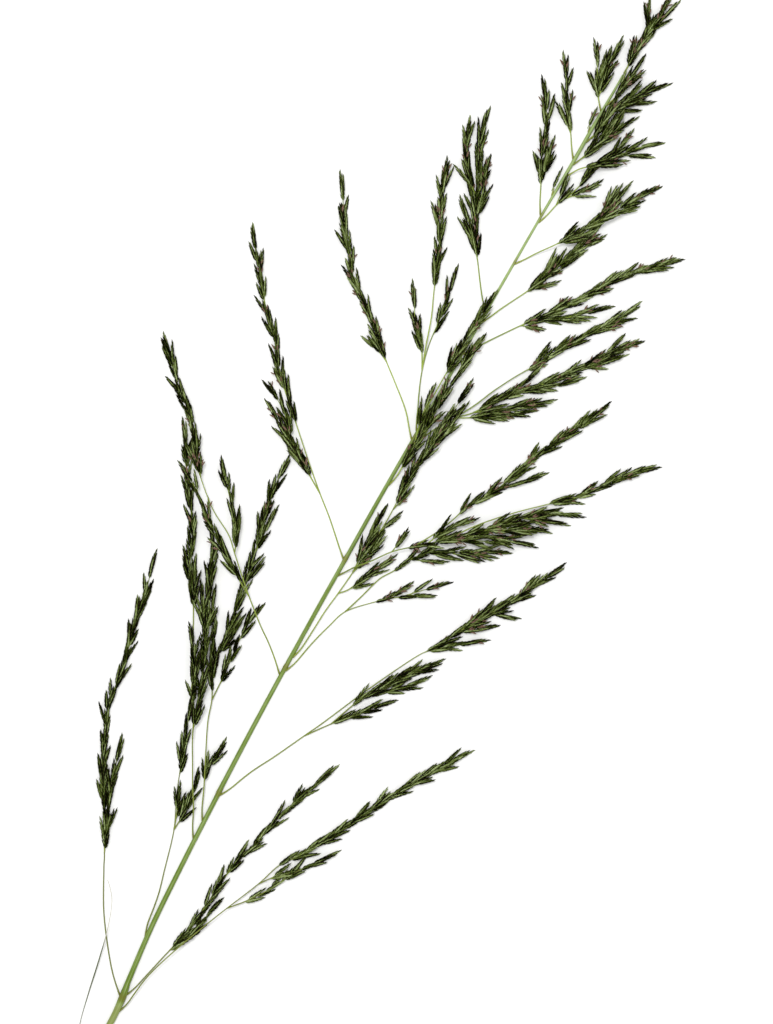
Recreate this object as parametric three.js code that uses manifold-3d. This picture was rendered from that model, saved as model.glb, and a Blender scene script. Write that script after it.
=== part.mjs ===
// Weeping love grass: one cut flowering stem that lies flat, with its open flower head.
// Millimetres. +Y runs along the stem from its cut end to its tip, +X to its right seen from above, +Z up.
// The stem rests on the plane Z = 0 and the lowest spikelets lie just above it. The origin is on the
// underside of the stem, a few millimetres from the cut end.
import * as THREE from 'three';
import Module from 'manifold-3d';

const wasm = await Module();
wasm.setup();

// Driving dimensions
const SPIKELET_LENGTH = 7.3; // 5 to 9 mm on the real grass
const SPIKELET_WIDTH = 1.4;
const SPIKELET_DEPTH = 0.95;
const SPIKELET_WAIST = 0.42; // where a spikelet is widest, as a share of its length
const LENGTH_SPREAD = 0.12; // how far lengths vary, as a share
const PITCH = 3.8; // from one spikelet to the next along a thread
const LEAN = 13; // degrees between a spikelet and its thread
const LEAN_SPREAD = 8;
const LAST_LEAN = 3; // of the spikelet that ends a thread
const RISE = 4; // degrees that spikelets point up off the surface
const RISE_SPREAD = 8;
const THREAD_THICKNESS = 0.62;
const THREAD_STEP = 9; // between the rings of a thread
const FORK_LIFT = 0.07; // how much higher than the thread that carries it a side thread starts
const END_OVERLAP = 2; // how far the last spikelet is sunk over the end of its thread
const SEAT_GAP = 0.3; // between the skin of the stem and a branch that it carries
const STEM_SIDES = 8;
const LOWEST = 0.05; // no spikelet reaches lower than this
const FINEST_EDGE = 0.02; // slivers that joining leaves and that are finer than this are smoothed away

// The stem: x, y and radius. Its underside is flat and lies at Z = 0, so its centre is a radius above.
const STEM = [
  [-0.1, -6, 0.92],
  [0, 8, 0.9],
  [0.15, 20, 0.9],
  [0, 24.5, 0.93],
  [-0.3, 28, 1.04],
  [-0.75, 31, 0.88],
  [-1.15, 34, 0.76],
  [-2.6, 50, 0.7],
  [-3.4, 70, 0.66],
  [-3.85, 88, 0.66],
  [-3.95, 91, 0.78],
  [-4.05, 94, 0.66],
  [-4.25, 110, 0.62],
  [-4.3, 128, 0.6],
  [-4.3, 130.5, 0.74],
  [-4.3, 133, 0.6],
  [-4.2, 150, 0.58],
  [-4, 163, 0.58],
  [-4, 165.5, 0.68],
  [-3.95, 168, 0.57],
  [-3.8, 180, 0.55],
  [-3.4, 200, 0.5],
  [-2.9, 220, 0.44],
  [-2.5, 240, 0.4],
  [-2, 262, 0.35],
  [-1.6, 277, 0.34],
  [-1.25, 287, 0.44],
  [-0.95, 295, 0.52],
  [-0.8, 304, 0.5],
  [-0.6, 311, 0.42],
  [-0.4, 317, 0.32],
  [-0.3, 322, 0.3],
];

// Where a branch leaves the stem: how far along, and on which side.
const LEFT = -1;
const RIGHT = 1;
const ABOVE = 0;

// The branches. foot says where a branch leaves the stem. Each thread has a route of x, y and z points, and
// bare is the length at its start that carries no spikelets. The first thread starts at the foot. A later one
// starts on an earlier one: on gives that thread's place in the list and the place of the point in its route,
// counted from 0.
const BRANCHES = {
  spray_left_1: {
    foot: [28.6, LEFT],
    threads: [
      {
        bare: 51,
        route: [
          [-8, 35, 0.8], [-16, 46, 0.8], [-22, 57, 0.8], [-24, 61, 0.8], [-31, 73.5, 0.8],
          [-36, 82, 0.8], [-39.5, 90, 0.8], [-42.5, 97, 0.8], [-44.2, 109, 0.8], [-47, 121, 0.8],
          [-48.5, 130, 0.8], [-50.5, 137.5, 0.8],
        ],
      },
      {
        on: [0, 3],
        bare: 0.5,
        route: [[-26.4, 66.5, 1.2], [-29.5, 73.5, 0.9], [-31.8, 80, 0.8], [-34, 88, 0.8]],
      },
    ],
  },
  spray_left_2: {
    foot: [46.5, LEFT],
    threads: [
      {
        bare: 47,
        route: [
          [-5, 57, 0.8], [-7, 65, 0.8], [-10, 76, 0.8], [-14, 85, 0.8], [-17, 93, 0.8],
          [-19.8, 101, 0.8], [-22, 107.5, 0.8],
        ],
      },
      {
        on: [0, 6],
        bare: 28.5,
        route: [
          [-27, 118.5, 0.8], [-31, 126, 0.8], [-36.5, 136, 0.8], [-40.5, 141, 0.8], [-44.3, 150, 0.8],
          [-49, 157.5, 0.8], [-53, 162.5, 0.8], [-57.5, 170.5, 0.8], [-60, 174.5, 0.8],
        ],
      },
      { on: [0, 2], bare: 3, route: [[-11.7, 81, 0.9], [-13.3, 84.5, 0.8]] },
      { on: [0, 2], bare: 2, route: [[-9.8, 80, 1.2], [-10, 86, 0.8], [-10.9, 90.5, 0.8]] },
      { on: [1, 2], bare: 0.5, route: [[-38.2, 139.3, 1.2], [-39.6, 142.2, 1]] },
    ],
  },
  spray_left_3: {
    foot: [77, LEFT],
    threads: [
      {
        bare: 30.5,
        route: [
          [-8, 84, 2.8], [-11.5, 90, 3.3], [-14.5, 95.5, 3.3], [-17.5, 101, 3.3], [-19.5, 106, 3.4],
          [-22, 114, 3.4], [-25, 121, 3.4], [-28, 128, 3.2], [-33.5, 140, 2.2], [-37, 148.5, 0.8],
          [-39.8, 153, 0.8],
        ],
      },
      {
        on: [0, 3],
        bare: 10,
        route: [
          [-20.4, 107, 3.6], [-23.7, 113, 3.5], [-27, 119.5, 3.1], [-30, 124, 2.7], [-31.5, 126, 2.5],
        ],
      },
      { on: [0, 7], bare: 0.5, route: [[-31.5, 132.8, 2.9], [-34, 137, 2.2]] },
      { on: [0, 7], bare: 2, route: [[-29.3, 133.5, 2.8], [-31.2, 138.3, 2.2]] },
    ],
  },
  spray_left_4: {
    foot: [82.6, LEFT],
    threads: [
      {
        bare: 35,
        route: [
          [-8, 90, 2.6], [-12, 98.5, 3], [-16, 107, 2], [-18, 113, 1.3], [-20.5, 118, 0.8],
          [-22.5, 125, 0.8], [-23.5, 135, 0.8], [-25.5, 145, 0.8], [-27, 155, 0.8], [-29.5, 165, 0.8],
          [-31, 174, 0.8], [-31.2, 179, 0.8],
        ],
      },
      {
        on: [0, 3],
        bare: 5,
        route: [[-18.3, 120, 0.9], [-19, 128, 0.8], [-19.4, 135, 0.8], [-18.9, 139.5, 0.8]],
      },
      { on: [0, 0], bare: 2, route: [[-9.6, 94, 2], [-9.5, 99, 1.4], [-9.3, 101.5, 1.2]] },
      { on: [0, 4], bare: 0.5, route: [[-23.2, 122, 0.9], [-25.6, 127.3, 0.8], [-26.3, 130, 0.8]] },
      { on: [0, 5], bare: 0.5, route: [[-22, 130, 0.8], [-21.8, 133.8, 0.8]] },
      { on: [0, 7], bare: 0.5, route: [[-24.6, 149.8, 1.1]] },
      { on: [0, 8], bare: 0.5, route: [[-27.3, 159.5, 1.2], [-27.6, 164.5, 1]] },
    ],
  },
  spray_left_5: {
    foot: [128.9, LEFT],
    threads: [
      {
        bare: 60,
        route: [
          [-8, 131.5, 2], [-12, 135, 3.6], [-16, 138, 4.6], [-22.5, 143.5, 4.8], [-28, 148.5, 4.4],
          [-32, 152.3, 3.8], [-36, 156, 3.5], [-43, 160, 3.4], [-50.3, 166.2, 3.4], [-54, 170.3, 3.4],
          [-57.6, 176, 3.2], [-62, 180.7, 2], [-67.8, 185.4, 0.8], [-73.6, 191.3, 0.8],
          [-75.6, 193.1, 0.8],
        ],
      },
      {
        on: [0, 3],
        bare: 4,
        route: [
          [-28, 146.8, 4.2], [-36, 152, 3.5], [-40, 154.5, 3.4], [-44, 158, 3.4], [-48, 161.5, 3.4],
          [-54.5, 165.5, 3.3],
        ],
      },
      {
        on: [0, 5],
        bare: 0.5,
        route: [[-33.5, 156.5, 3.2], [-37, 161, 2.4], [-40.5, 165, 1.4], [-45, 170, 0.8]],
      },
      { on: [0, 8], bare: 0.5, route: [[-53.2, 170.2, 3.3], [-56.2, 174.3, 3]] },
    ],
  },
  spray_left_6: {
    foot: [165.8, LEFT],
    threads: [
      {
        bare: 39,
        route: [
          [-10, 170.3, 0.9], [-14, 174, 1.4], [-19, 178.2, 2.2], [-26, 184.5, 2.2], [-34, 192, 1.4],
          [-40, 197.5, 0.8], [-46, 203.5, 0.8], [-49.8, 209.2, 0.8], [-53.6, 212.9, 0.8],
          [-57.7, 217.4, 0.8], [-63, 224, 0.8], [-67, 229, 0.8], [-69.3, 232, 0.8],
        ],
      },
      {
        on: [0, 2],
        bare: 5,
        route: [
          [-24, 181.3, 2.9], [-31, 185.6, 3.3], [-36, 191, 2], [-41, 195, 0.8], [-44.5, 196.8, 0.8],
        ],
      },
      { on: [1, 1], bare: 0.5, route: [[-35.2, 188, 2.5], [-39.3, 190.6, 1.2], [-41.6, 192.1, 0.8]] },
      { on: [1, 0], bare: 0.5, route: [[-28.7, 183.8, 3], [-33.4, 186.2, 2.4]] },
    ],
  },
  spray_left_7: {
    foot: [204.3, LEFT],
    threads: [
      {
        bare: 22,
        route: [
          [-9, 210, 0.8], [-16, 216, 0.9], [-20.3, 219.5, 0.8], [-27, 225.5, 0.8], [-33, 230.5, 0.8],
          [-39, 235, 0.8], [-42.5, 239.8, 0.8], [-46, 243.5, 0.8], [-49, 247.5, 0.8],
          [-52, 252.5, 0.8], [-54, 255.8, 0.8],
        ],
      },
      { on: [0, 2], bare: 1, route: [[-23, 220.8, 0.9], [-26, 221.6, 0.8]] },
    ],
  },
  spray_left_8: {
    foot: [207, LEFT],
    threads: [
      {
        bare: 27,
        route: [
          [-6, 211.5, 0.8], [-8, 216, 0.9], [-10.3, 222, 1.2], [-12, 229, 0.8], [-12.7, 236, 0.8],
          [-13.3, 242, 0.8], [-14.7, 248, 0.8],
        ],
      },
      {
        on: [0, 2],
        bare: 4,
        route: [
          [-13, 226.8, 0.9], [-16, 230.5, 0.8], [-18.7, 233.5, 0.8], [-20.6, 236.5, 0.8],
          [-22.2, 238.7, 0.8],
        ],
      },
      {
        on: [0, 2],
        bare: 23,
        route: [
          [-12.6, 228.5, 1.8], [-15, 236, 1.8], [-17.5, 242, 1.3], [-20, 248, 0.8], [-22, 253, 0.8],
          [-24, 258, 0.8], [-26.3, 262.5, 0.8], [-28.5, 267.2, 0.8], [-30.8, 273.5, 0.8],
        ],
      },
      { on: [2, 5], bare: 1, route: [[-27, 261.3, 0.8]] },
    ],
  },
  spray_left_9: {
    foot: [245.6, LEFT],
    threads: [
      {
        bare: 14,
        route: [
          [-7, 250.3, 0.9], [-11, 256, 0.8], [-14, 260, 0.8], [-17, 266, 0.8], [-20, 272, 0.8],
          [-22.5, 277.5, 0.8], [-25, 282, 0.8], [-27, 287, 0.8], [-28, 291, 0.8],
        ],
      },
      {
        on: [0, 4],
        bare: 2,
        route: [[-23.8, 274.8, 0.9], [-27, 279, 0.8], [-29.5, 283.5, 0.8], [-31, 287.5, 0.8]],
      },
      { on: [0, 2], bare: 1, route: [[-18.3, 262.6, 0.9]] },
      { on: [0, 2], bare: 1, route: [[-16.8, 263, 1.2], [-20.5, 266.3, 0.9]] },
      { on: [0, 4], bare: 2, route: [[-20.4, 275.5, 1.2], [-21.6, 280.5, 0.9]] },
      { on: [0, 3], bare: 0.5, route: [[-18, 271, 1.2], [-20, 276, 0.9]] },
      { on: [0, 3], bare: 1, route: [[-20.2, 269.8, 0.9], [-23, 273.3, 0.8]] },
    ],
  },
  spray_left_10: {
    foot: [276.6, LEFT],
    threads: [
      {
        bare: 7,
        route: [
          [-6.2, 284.2, 0.9], [-8.5, 288.5, 0.8], [-10.5, 293.5, 0.8], [-12.5, 299, 0.8],
          [-15, 303.3, 0.8], [-17, 306.3, 0.8],
        ],
      },
      { on: [0, 3], bare: 0.5, route: [[-13.3, 303, 1.2]] },
      { on: [0, 0], bare: 1.5, route: [[-8.8, 287.2, 0.9]] },
      { on: [0, 0], bare: 2, route: [[-7.2, 289, 1.2], [-8.2, 293, 1]] },
    ],
  },
  spray_left_11: {
    foot: [294.8, LEFT],
    threads: [
      {
        bare: 6,
        route: [
          [-5.5, 300.3, 0.9], [-8.5, 304.5, 0.8], [-11.5, 309, 0.8], [-14, 313.3, 0.8],
          [-15.2, 315, 0.8],
        ],
      },
      { on: [0, 0], bare: 1, route: [[-9, 303, 0.8]] },
    ],
  },
  spray_left_12: {
    foot: [310.3, LEFT],
    threads: [
      { bare: 2, route: [[-3.5, 312.8, 0.8], [-5.5, 316, 0.8], [-7.2, 319.3, 0.8], [-9.2, 322.4, 0.8]] },
      { on: [0, 0], bare: 0.5, route: [[-4, 317, 1.2], [-4.8, 321, 1.2], [-5, 325.6, 1.2]] },
      { on: [0, 1], bare: 0.5, route: [[-6.4, 320.5, 1.4]] },
      { on: [0, 0], bare: 0.5, route: [[-5.6, 314.6, 0.8]] },
      { on: [0, 1], bare: 0.5, route: [[-5.4, 319.3, 1.3], [-6.2, 322.3, 1.2]] },
    ],
  },
  spikelet_left_13: {
    foot: [283, LEFT],
    threads: [{ bare: 9, route: [[-2.5, 285.5, 0.8]] }],
  },
  spikelet_left_14: {
    foot: [303.4, LEFT],
    threads: [{ bare: 9, route: [[-2, 305.6, 0.9]] }],
  },
  spray_right_1: {
    foot: [29.6, RIGHT],
    threads: [
      {
        bare: 15,
        route: [
          [2.3, 35, 0.8], [3.8, 41, 0.8], [5.1, 46, 0.8], [6.8, 52, 0.8], [7.8, 60, 0.8],
          [8.6, 68, 0.8], [9.6, 76, 0.8], [12, 84, 0.8], [13.9, 92, 0.8], [16, 99, 0.8],
          [18.2, 104, 0.8], [20, 109.3, 0.8],
        ],
      },
      { on: [0, 2], bare: 1, route: [[7.8, 51, 1.2], [9.1, 57, 0.8], [10.1, 61.8, 0.8]] },
    ],
  },
  spray_right_2: {
    foot: [24.6, RIGHT],
    threads: [
      {
        bare: 60,
        route: [
          [2.2, 31, 2.6], [3.4, 38, 3.3], [6.8, 48, 3.3], [11.5, 59.5, 3.1], [13.5, 64, 2.4],
          [18, 74, 1.2], [20.5, 81, 0.8], [24, 86, 0.8], [27.5, 92, 0.8], [33, 102, 0.8],
          [37.5, 111, 0.8], [43.5, 121, 0.8], [48, 128, 0.8], [50.3, 131.6, 0.8],
        ],
      },
      {
        on: [0, 4],
        bare: 4,
        route: [[17.5, 68.5, 1.5], [21, 73.5, 0.9], [24, 79, 0.8], [27, 84, 0.8], [30.6, 88.7, 0.8]],
      },
      { on: [0, 5], bare: 2, route: [[20.5, 77.3, 1.2], [24, 80.8, 0.8]] },
    ],
  },
  spray_right_3: {
    foot: [91.2, RIGHT],
    threads: [
      {
        bare: 69,
        route: [
          [1, 100, 0.8], [5, 107.5, 0.8], [9.5, 116.5, 0.8], [12.5, 122.5, 0.8], [19, 136.5, 0.8],
          [26.5, 151, 0.8], [30, 155.5, 0.8], [33.5, 162.5, 0.8], [39, 171.5, 0.8], [42.5, 177, 0.8],
          [46, 184, 0.8], [49, 189.8, 0.8],
        ],
      },
      { on: [0, 2], bare: 8, route: [[14.5, 123, 0.9], [19, 128.3, 0.8], [24.7, 134.8, 0.8]] },
      {
        on: [1, 0],
        bare: 7,
        route: [[18, 132, 1.2], [21, 136.5, 0.9], [24, 141, 0.8], [27, 145.5, 0.8], [31, 150.3, 0.8]],
      },
      { on: [2, 1], bare: 2, route: [[25, 139.3, 0.8], [29.8, 144.4, 0.8]] },
      { on: [0, 6], bare: 0.5, route: [[33.6, 158, 0.9], [38, 161.6, 0.8]] },
      { on: [0, 7], bare: 0.5, route: [[36.5, 164.6, 0.9], [39.6, 167.3, 0.8]] },
      { on: [0, 8], bare: 0, route: [[42.8, 172.6, 0.9]] },
      { on: [0, 7], bare: 1, route: [[36.3, 168.5, 1.2], [36.9, 171.7, 1.1]] },
      { on: [0, 8], bare: 0, route: [[40.2, 174, 1.2]] },
      { on: [2, 1], bare: 0.5, route: [[23.2, 140.8, 1.2], [25.5, 144.8, 1]] },
    ],
  },
  spray_right_4: {
    foot: [130.6, RIGHT],
    threads: [
      {
        bare: 32,
        route: [
          [-1, 140, 0.9], [1, 147, 0.8], [3, 152.5, 0.8], [8, 157.9, 0.8], [12, 161.4, 0.8],
          [16, 164.9, 0.8], [19.5, 168.4, 0.8], [21.9, 170.9, 0.8],
        ],
      },
      {
        on: [0, 2],
        bare: 17,
        route: [
          [5, 158.5, 0.9], [7, 165, 0.8], [9.5, 169, 0.8], [12, 174, 0.8], [15.5, 178, 0.8],
          [20.5, 181, 0.8], [25, 183.3, 0.8], [31.6, 187, 0.8],
        ],
      },
      { on: [0, 4], bare: 0.5, route: [[13.2, 163.6, 0.9], [13.9, 164.6, 0.8]] },
      { on: [1, 4], bare: 0.5, route: [[20.5, 179.3, 0.9]] },
      { on: [1, 3], bare: 0.5, route: [[17.3, 176.3, 1]] },
      { on: [1, 5], bare: 0.5, route: [[25.5, 182, 0.9]] },
      { on: [1, 6], bare: 0.5, route: [[28.5, 184.3, 0.8]] },
      { on: [0, 5], bare: 0.5, route: [[18.4, 166, 0.8]] },
    ],
  },
  spray_right_5: {
    foot: [134.8, RIGHT],
    threads: [
      {
        bare: 51,
        route: [
          [-2.4, 144, 1.3], [-2, 150, 1.3], [-1.2, 156, 1.2], [-0.4, 163, 0.9], [0.3, 170, 0.8],
          [0.9, 177, 0.8], [1.1, 184, 0.8], [0.9, 194, 1.6], [1.7, 202, 2.6], [2.2, 210, 2.6],
          [2.8, 217, 2.4], [3.2, 221.5, 2.2],
        ],
      },
      { on: [0, 3], bare: 2, route: [[-0.7, 171, 1.9], [-1.1, 180.5, 1.7]] },
      { on: [0, 2], bare: 3.5, route: [[1, 158.6, 1.2], [3.4, 163.8, 0.8], [6.2, 169.2, 0.8]] },
      { on: [0, 3], bare: 1, route: [[1.1, 168.5, 1.2], [1.6, 174, 0.9]] },
      { on: [0, 5], bare: 0.5, route: [[2.4, 180.8, 0.9]] },
      { on: [0, 6], bare: 0.5, route: [[2.3, 188.4, 1.2]] },
      { on: [0, 8], bare: 0.5, route: [[3.2, 207, 2.6], [3.9, 212, 2.4], [4.4, 215.8, 2.2]] },
    ],
  },
  spray_right_6: {
    foot: [161, RIGHT],
    threads: [
      {
        bare: 20,
        route: [
          [-1, 164.2, 2.6], [2.5, 168.3, 3.7], [6.5, 173.5, 3.4], [11, 177.5, 3.4], [14, 180, 3.4],
          [18, 183.5, 3.3], [22, 187, 3.3], [26, 191, 3.3], [30, 195, 3], [34, 199, 2.2],
          [38, 202, 1.2], [42, 204.5, 0.8], [45, 206, 0.8],
        ],
      },
      { on: [0, 6], bare: 2, route: [[27, 189.5, 3.3], [32, 191.2, 3.2], [37, 192.8, 2.6]] },
      { on: [0, 8], bare: 2, route: [[34, 196.5, 2.6], [39.2, 198.3, 1.8]] },
      {
        on: [0, 5],
        bare: 30,
        route: [
          [24, 191.5, 3.3], [31, 199, 2.8], [38, 205.5, 1.6], [42, 209, 0.8], [45, 212, 0.8],
          [50, 218.5, 0.8], [54, 223.5, 0.8], [57.3, 226.8, 0.8],
        ],
      },
      {
        on: [0, 3],
        bare: 15,
        route: [
          [14.5, 183.5, 3.3], [17, 189, 2.8], [19, 194.5, 1.6], [21.5, 198.5, 0.8], [24, 203, 0.8],
          [26.5, 209, 0.8], [28.5, 214.5, 0.8], [32, 221.5, 0.8], [35.5, 228, 0.8], [38.6, 234.8, 0.8],
        ],
      },
      { on: [4, 4], bare: 2, route: [[28, 206.5, 0.9], [31.2, 210.3, 0.8]] },
      { on: [0, 2], bare: 0.5, route: [[6.9, 176.3, 3]] },
      { on: [0, 4], bare: 1, route: [[17, 186.5, 3.3], [20.2, 190, 3]] },
      { on: [0, 5], bare: 0.5, route: [[22.5, 185.8, 3.5], [27, 188, 3.5], [30.5, 189.2, 3.3]] },
      { on: [0, 7], bare: 0.5, route: [[31, 193.6, 3.4], [36, 196, 2.8]] },
      { on: [0, 9], bare: 0.5, route: [[38.6, 200.8, 2], [41.6, 202, 1.4]] },
      { on: [0, 9], bare: 0.5, route: [[37.4, 202.4, 2], [40, 204, 1.4]] },
    ],
  },
  spray_right_7: {
    foot: [203.3, RIGHT],
    threads: [
      {
        bare: 21,
        route: [
          [1, 210, 0.8], [4, 214.7, 0.8], [8, 218.6, 0.8], [13, 226, 0.8], [19, 232, 0.8],
          [23.5, 237.5, 0.8], [28, 243.5, 0.8], [32, 249, 0.8], [36, 254.3, 0.8], [37.7, 256, 0.8],
        ],
      },
      { on: [0, 2], bare: 1, route: [[12, 221.3, 0.9], [16, 224.3, 0.8], [22.7, 229.4, 0.8]] },
      { on: [0, 1], bare: 3, route: [[8.5, 217.2, 1], [12, 219.3, 0.9], [15.3, 221.2, 0.8]] },
      { on: [1, 0], bare: 1, route: [[16.2, 222.6, 0.9], [19.2, 224.8, 0.8]] },
      { on: [0, 4], bare: 1, route: [[23.3, 234.8, 0.8], [27, 238.6, 0.8]] },
      { on: [0, 6], bare: 1, route: [[31.6, 246.3, 0.9], [34.5, 249.6, 0.8]] },
      { on: [0, 7], bare: 1, route: [[33.6, 253.8, 0.9]] },
      {
        on: [0, 1],
        bare: 24,
        route: [
          [7.3, 220.5, 1.6], [10, 226.5, 1.6], [13.5, 233, 1.4], [16.3, 237.5, 0.9], [18.8, 242, 0.8],
          [22, 247, 0.8], [26, 253.5, 0.8], [30, 259.3, 0.8], [32.6, 264, 0.8],
        ],
      },
      { on: [7, 3], bare: 0.5, route: [[17, 241.5, 1.2]] },
      { on: [0, 3], bare: 2, route: [[16, 231, 1.2], [17.3, 235.5, 1.4]] },
      { on: [0, 2], bare: 0.5, route: [[11, 222.8, 1], [13.3, 226.5, 1]] },
    ],
  },
  spray_right_8: {
    foot: [232.2, RIGHT],
    threads: [
      {
        bare: 17,
        route: [
          [1, 236.5, 0.8], [4, 240.8, 0.9], [8, 246.3, 0.8], [11, 249.8, 0.8], [15, 255.8, 0.8],
          [19, 260.8, 0.8], [23, 267, 0.8], [27, 272.4, 0.8], [31, 276.5, 0.8], [35.7, 281.2, 0.8],
        ],
      },
      { on: [0, 3], bare: 1, route: [[15, 252, 0.8], [19.5, 255.4, 0.8], [24.7, 260.3, 0.8]] },
      { on: [0, 2], bare: 0.2, route: [[10.2, 247, 0.8]] },
      { on: [1, 0], bare: 1, route: [[18.9, 253.8, 0.8]] },
    ],
  },
  spray_right_9: {
    foot: [242.2, RIGHT],
    threads: [
      {
        bare: 14,
        route: [
          [0.2, 246.3, 0.9], [2.2, 250.3, 0.8], [5.2, 256, 0.8], [7, 260.5, 0.8], [9.2, 266, 0.8],
          [11.4, 272, 0.8], [12.6, 278, 0.8], [13, 284, 0.8], [13.4, 290, 0.8],
        ],
      },
      { on: [0, 2], bare: 0.5, route: [[8.2, 258.8, 0.9]] },
      { on: [0, 3], bare: 0.5, route: [[6.9, 264.5, 1.2]] },
      { on: [0, 3], bare: 0.5, route: [[9.3, 264.2, 1], [11.2, 268, 0.9]] },
      { on: [0, 5], bare: 0.5, route: [[13.6, 274.8, 0.8], [14.7, 276.6, 0.8]] },
      { on: [0, 7], bare: 0.5, route: [[14.2, 287.5, 1.1], [14.9, 291.3, 1]] },
    ],
  },
  spray_right_10: {
    foot: [261.2, RIGHT],
    threads: [
      {
        bare: 12,
        route: [
          [2, 265.8, 1.7], [6, 271, 3.4], [8.7, 275.6, 3.6], [11.8, 280, 3.6], [15, 285, 3.1],
          [17.8, 290, 1.6], [21.3, 295.6, 0.8],
        ],
      },
      { on: [0, 4], bare: 1, route: [[18.4, 288.2, 2.4]] },
      { on: [0, 1], bare: 1, route: [[8.3, 274, 3.4]] },
      { on: [0, 1], bare: 0.5, route: [[8.8, 273.6, 3.5], [10.3, 275.8, 3.6]] },
    ],
  },
  spray_right_11: {
    foot: [274.6, RIGHT],
    threads: [
      { bare: 6, route: [[0.6, 280.6, 0.8], [2.2, 283.6, 0.8], [4.5, 286.3, 0.8], [6.6, 289.4, 0.8]] },
      { on: [0, 1], bare: 4, route: [[3.8, 288.5, 0.8], [4.7, 293.3, 0.7]] },
      { on: [0, 0], bare: 3, route: [[0.3, 283.4, 1.1], [0.25, 284.4, 0.8]] },
    ],
  },
  spray_right_12: {
    foot: [289.6, RIGHT],
    threads: [
      {
        bare: 5,
        route: [[1.2, 292, 2.5], [3.5, 294.2, 3.7], [7, 298, 2.8], [9.5, 301, 1.4], [14.3, 303.7, 0.8]],
      },
      { on: [0, 3], bare: 1, route: [[12, 304.4, 1.2], [15.8, 308, 0.8]] },
      { on: [0, 2], bare: 1, route: [[8.2, 302, 2], [8.7, 305.6, 1.6]] },
      { on: [0, 1], bare: 1, route: [[7.6, 296.6, 3]] },
    ],
  },
  spray_right_13: {
    foot: [293.4, RIGHT],
    threads: [
      { bare: 2, route: [[1.3, 297.3, 1.4], [2.7, 300.6, 1.6], [4.2, 304, 1.6], [6.4, 308.6, 1.4]] },
      { on: [0, 2], bare: 0.5, route: [[4.6, 307.3, 1.8]] },
      { on: [0, 1], bare: 0.5, route: [[3.1, 305, 1.8], [3.5, 308.2, 1.8]] },
    ],
  },
  spray_right_14: {
    foot: [300.6, RIGHT],
    threads: [{ bare: 1, route: [[0.8, 304, 1.2], [1.1, 307, 2], [1.2, 311, 2.3]] }],
  },
  spray_right_15: {
    foot: [308.6, RIGHT],
    threads: [
      { bare: 1, route: [[2, 311.5, 0.8], [3.5, 314.3, 0.8], [6, 317.8, 0.8], [9.2, 322, 0.8]] },
      { on: [0, 0], bare: 0.5, route: [[4.4, 312.7, 0.8]] },
      { on: [0, 1], bare: 0.5, route: [[7, 316.4, 0.8]] },
      { on: [0, 1], bare: 0.5, route: [[4.1, 317, 1.2]] },
      { on: [0, 2], bare: 0.5, route: [[7.2, 320.6, 1.1]] },
      { on: [0, 0], bare: 0.5, route: [[4.4, 314, 1.4], [5.8, 315.6, 1.3]] },
    ],
  },
  spray_right_16: {
    foot: [312.6, RIGHT],
    threads: [
      { bare: 1, route: [[1, 316, 1.6], [1.4, 319.4, 1.8], [2.1, 324.5, 1.8]] },
      { on: [0, 0], bare: 0.5, route: [[2, 318.6, 2.2], [2.8, 321, 2.1]] },
    ],
  },
  spray_middle: {
    foot: [190, RIGHT],
    threads: [
      {
        bare: 5,
        route: [
          [-2.3, 196, 2], [-2, 202, 2.8], [-1.7, 209, 2.9], [-1.5, 216, 2.8], [-1.3, 224, 2.7],
          [-1.1, 231, 2.5], [-0.2, 235.5, 2.2],
        ],
      },
      { on: [0, 1], bare: 5, route: [[-3.3, 206.5, 3], [-4.3, 211, 2.9], [-5, 216, 2.8]] },
      {
        on: [1, 1],
        bare: 13,
        route: [
          [-4.1, 217.4, 2.8], [-4, 224, 2.7], [-3.8, 231, 2.7], [-3.6, 238, 2.6], [-3.3, 243, 2.4],
          [-3.1, 247, 2.2],
        ],
      },
    ],
  },
  spray_top: {
    foot: [322.6, ABOVE],
    threads: [
      {
        bare: 1,
        route: [
          [-0.3, 325.5, 0.9], [-0.1, 331, 0.9], [0, 335, 0.9], [0.5, 340, 0.9], [0.7, 343.7, 0.9],
        ],
      },
      { on: [0, 0], bare: 0.2, route: [[-1.2, 328.4, 1.2]] },
      { on: [0, 2], bare: 0.5, route: [[-1.1, 337.5, 1.2], [-2.8, 341, 0.9]] },
      { on: [0, 2], bare: 0.5, route: [[1.4, 338.6, 1.2], [2.6, 343.6, 0.9]] },
    ],
  },
};

// The hair-thin leaf tip, from the stem near its cut end, out to the left and over the lowest branch.
const LEAF_FOOT = 2;
const LEAF = [
  [-3.7, 8, 0.5], [-7, 15, 0.6], [-9.1, 24, 0.8], [-11, 34, 2.2], [-13, 43, 3.2], [-15.5, 50, 2.6],
  [-18, 53.3, 1.4], [-19.6, 54.8, 0.7],
];

const STEM_MATERIAL = new THREE.MeshStandardMaterial({ color: 0x7d9b3c, roughness: 0.5, metalness: 0 });
const SPRAY_MATERIAL = new THREE.MeshStandardMaterial({ color: 0x39431f, roughness: 0.6, metalness: 0 });
const LEAF_MATERIAL = new THREE.MeshStandardMaterial({ color: 0x9aa57a, roughness: 0.6, metalness: 0 });

const UP = new THREE.Vector3(0, 0, 1);

// An even spread of numbers from -1 to 1: the fractional part of a multiple of an irrational number.
const GOLDEN = 0.6180339887;
const PLASTIC = 0.7548776662;
const SILVER = 0.4142135624;
function wobble(count, ratio) {
  return 2 * ((count * ratio) % 1) - 1;
}

// A closed mesh of shared vertices as a solid.
function solidOf(vertices, triangles) {
  const mesh = new wasm.Mesh({
    numProp: 3,
    vertProperties: new Float32Array(vertices),
    triVerts: new Uint32Array(triangles),
  });
  return new wasm.Manifold(mesh);
}

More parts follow.
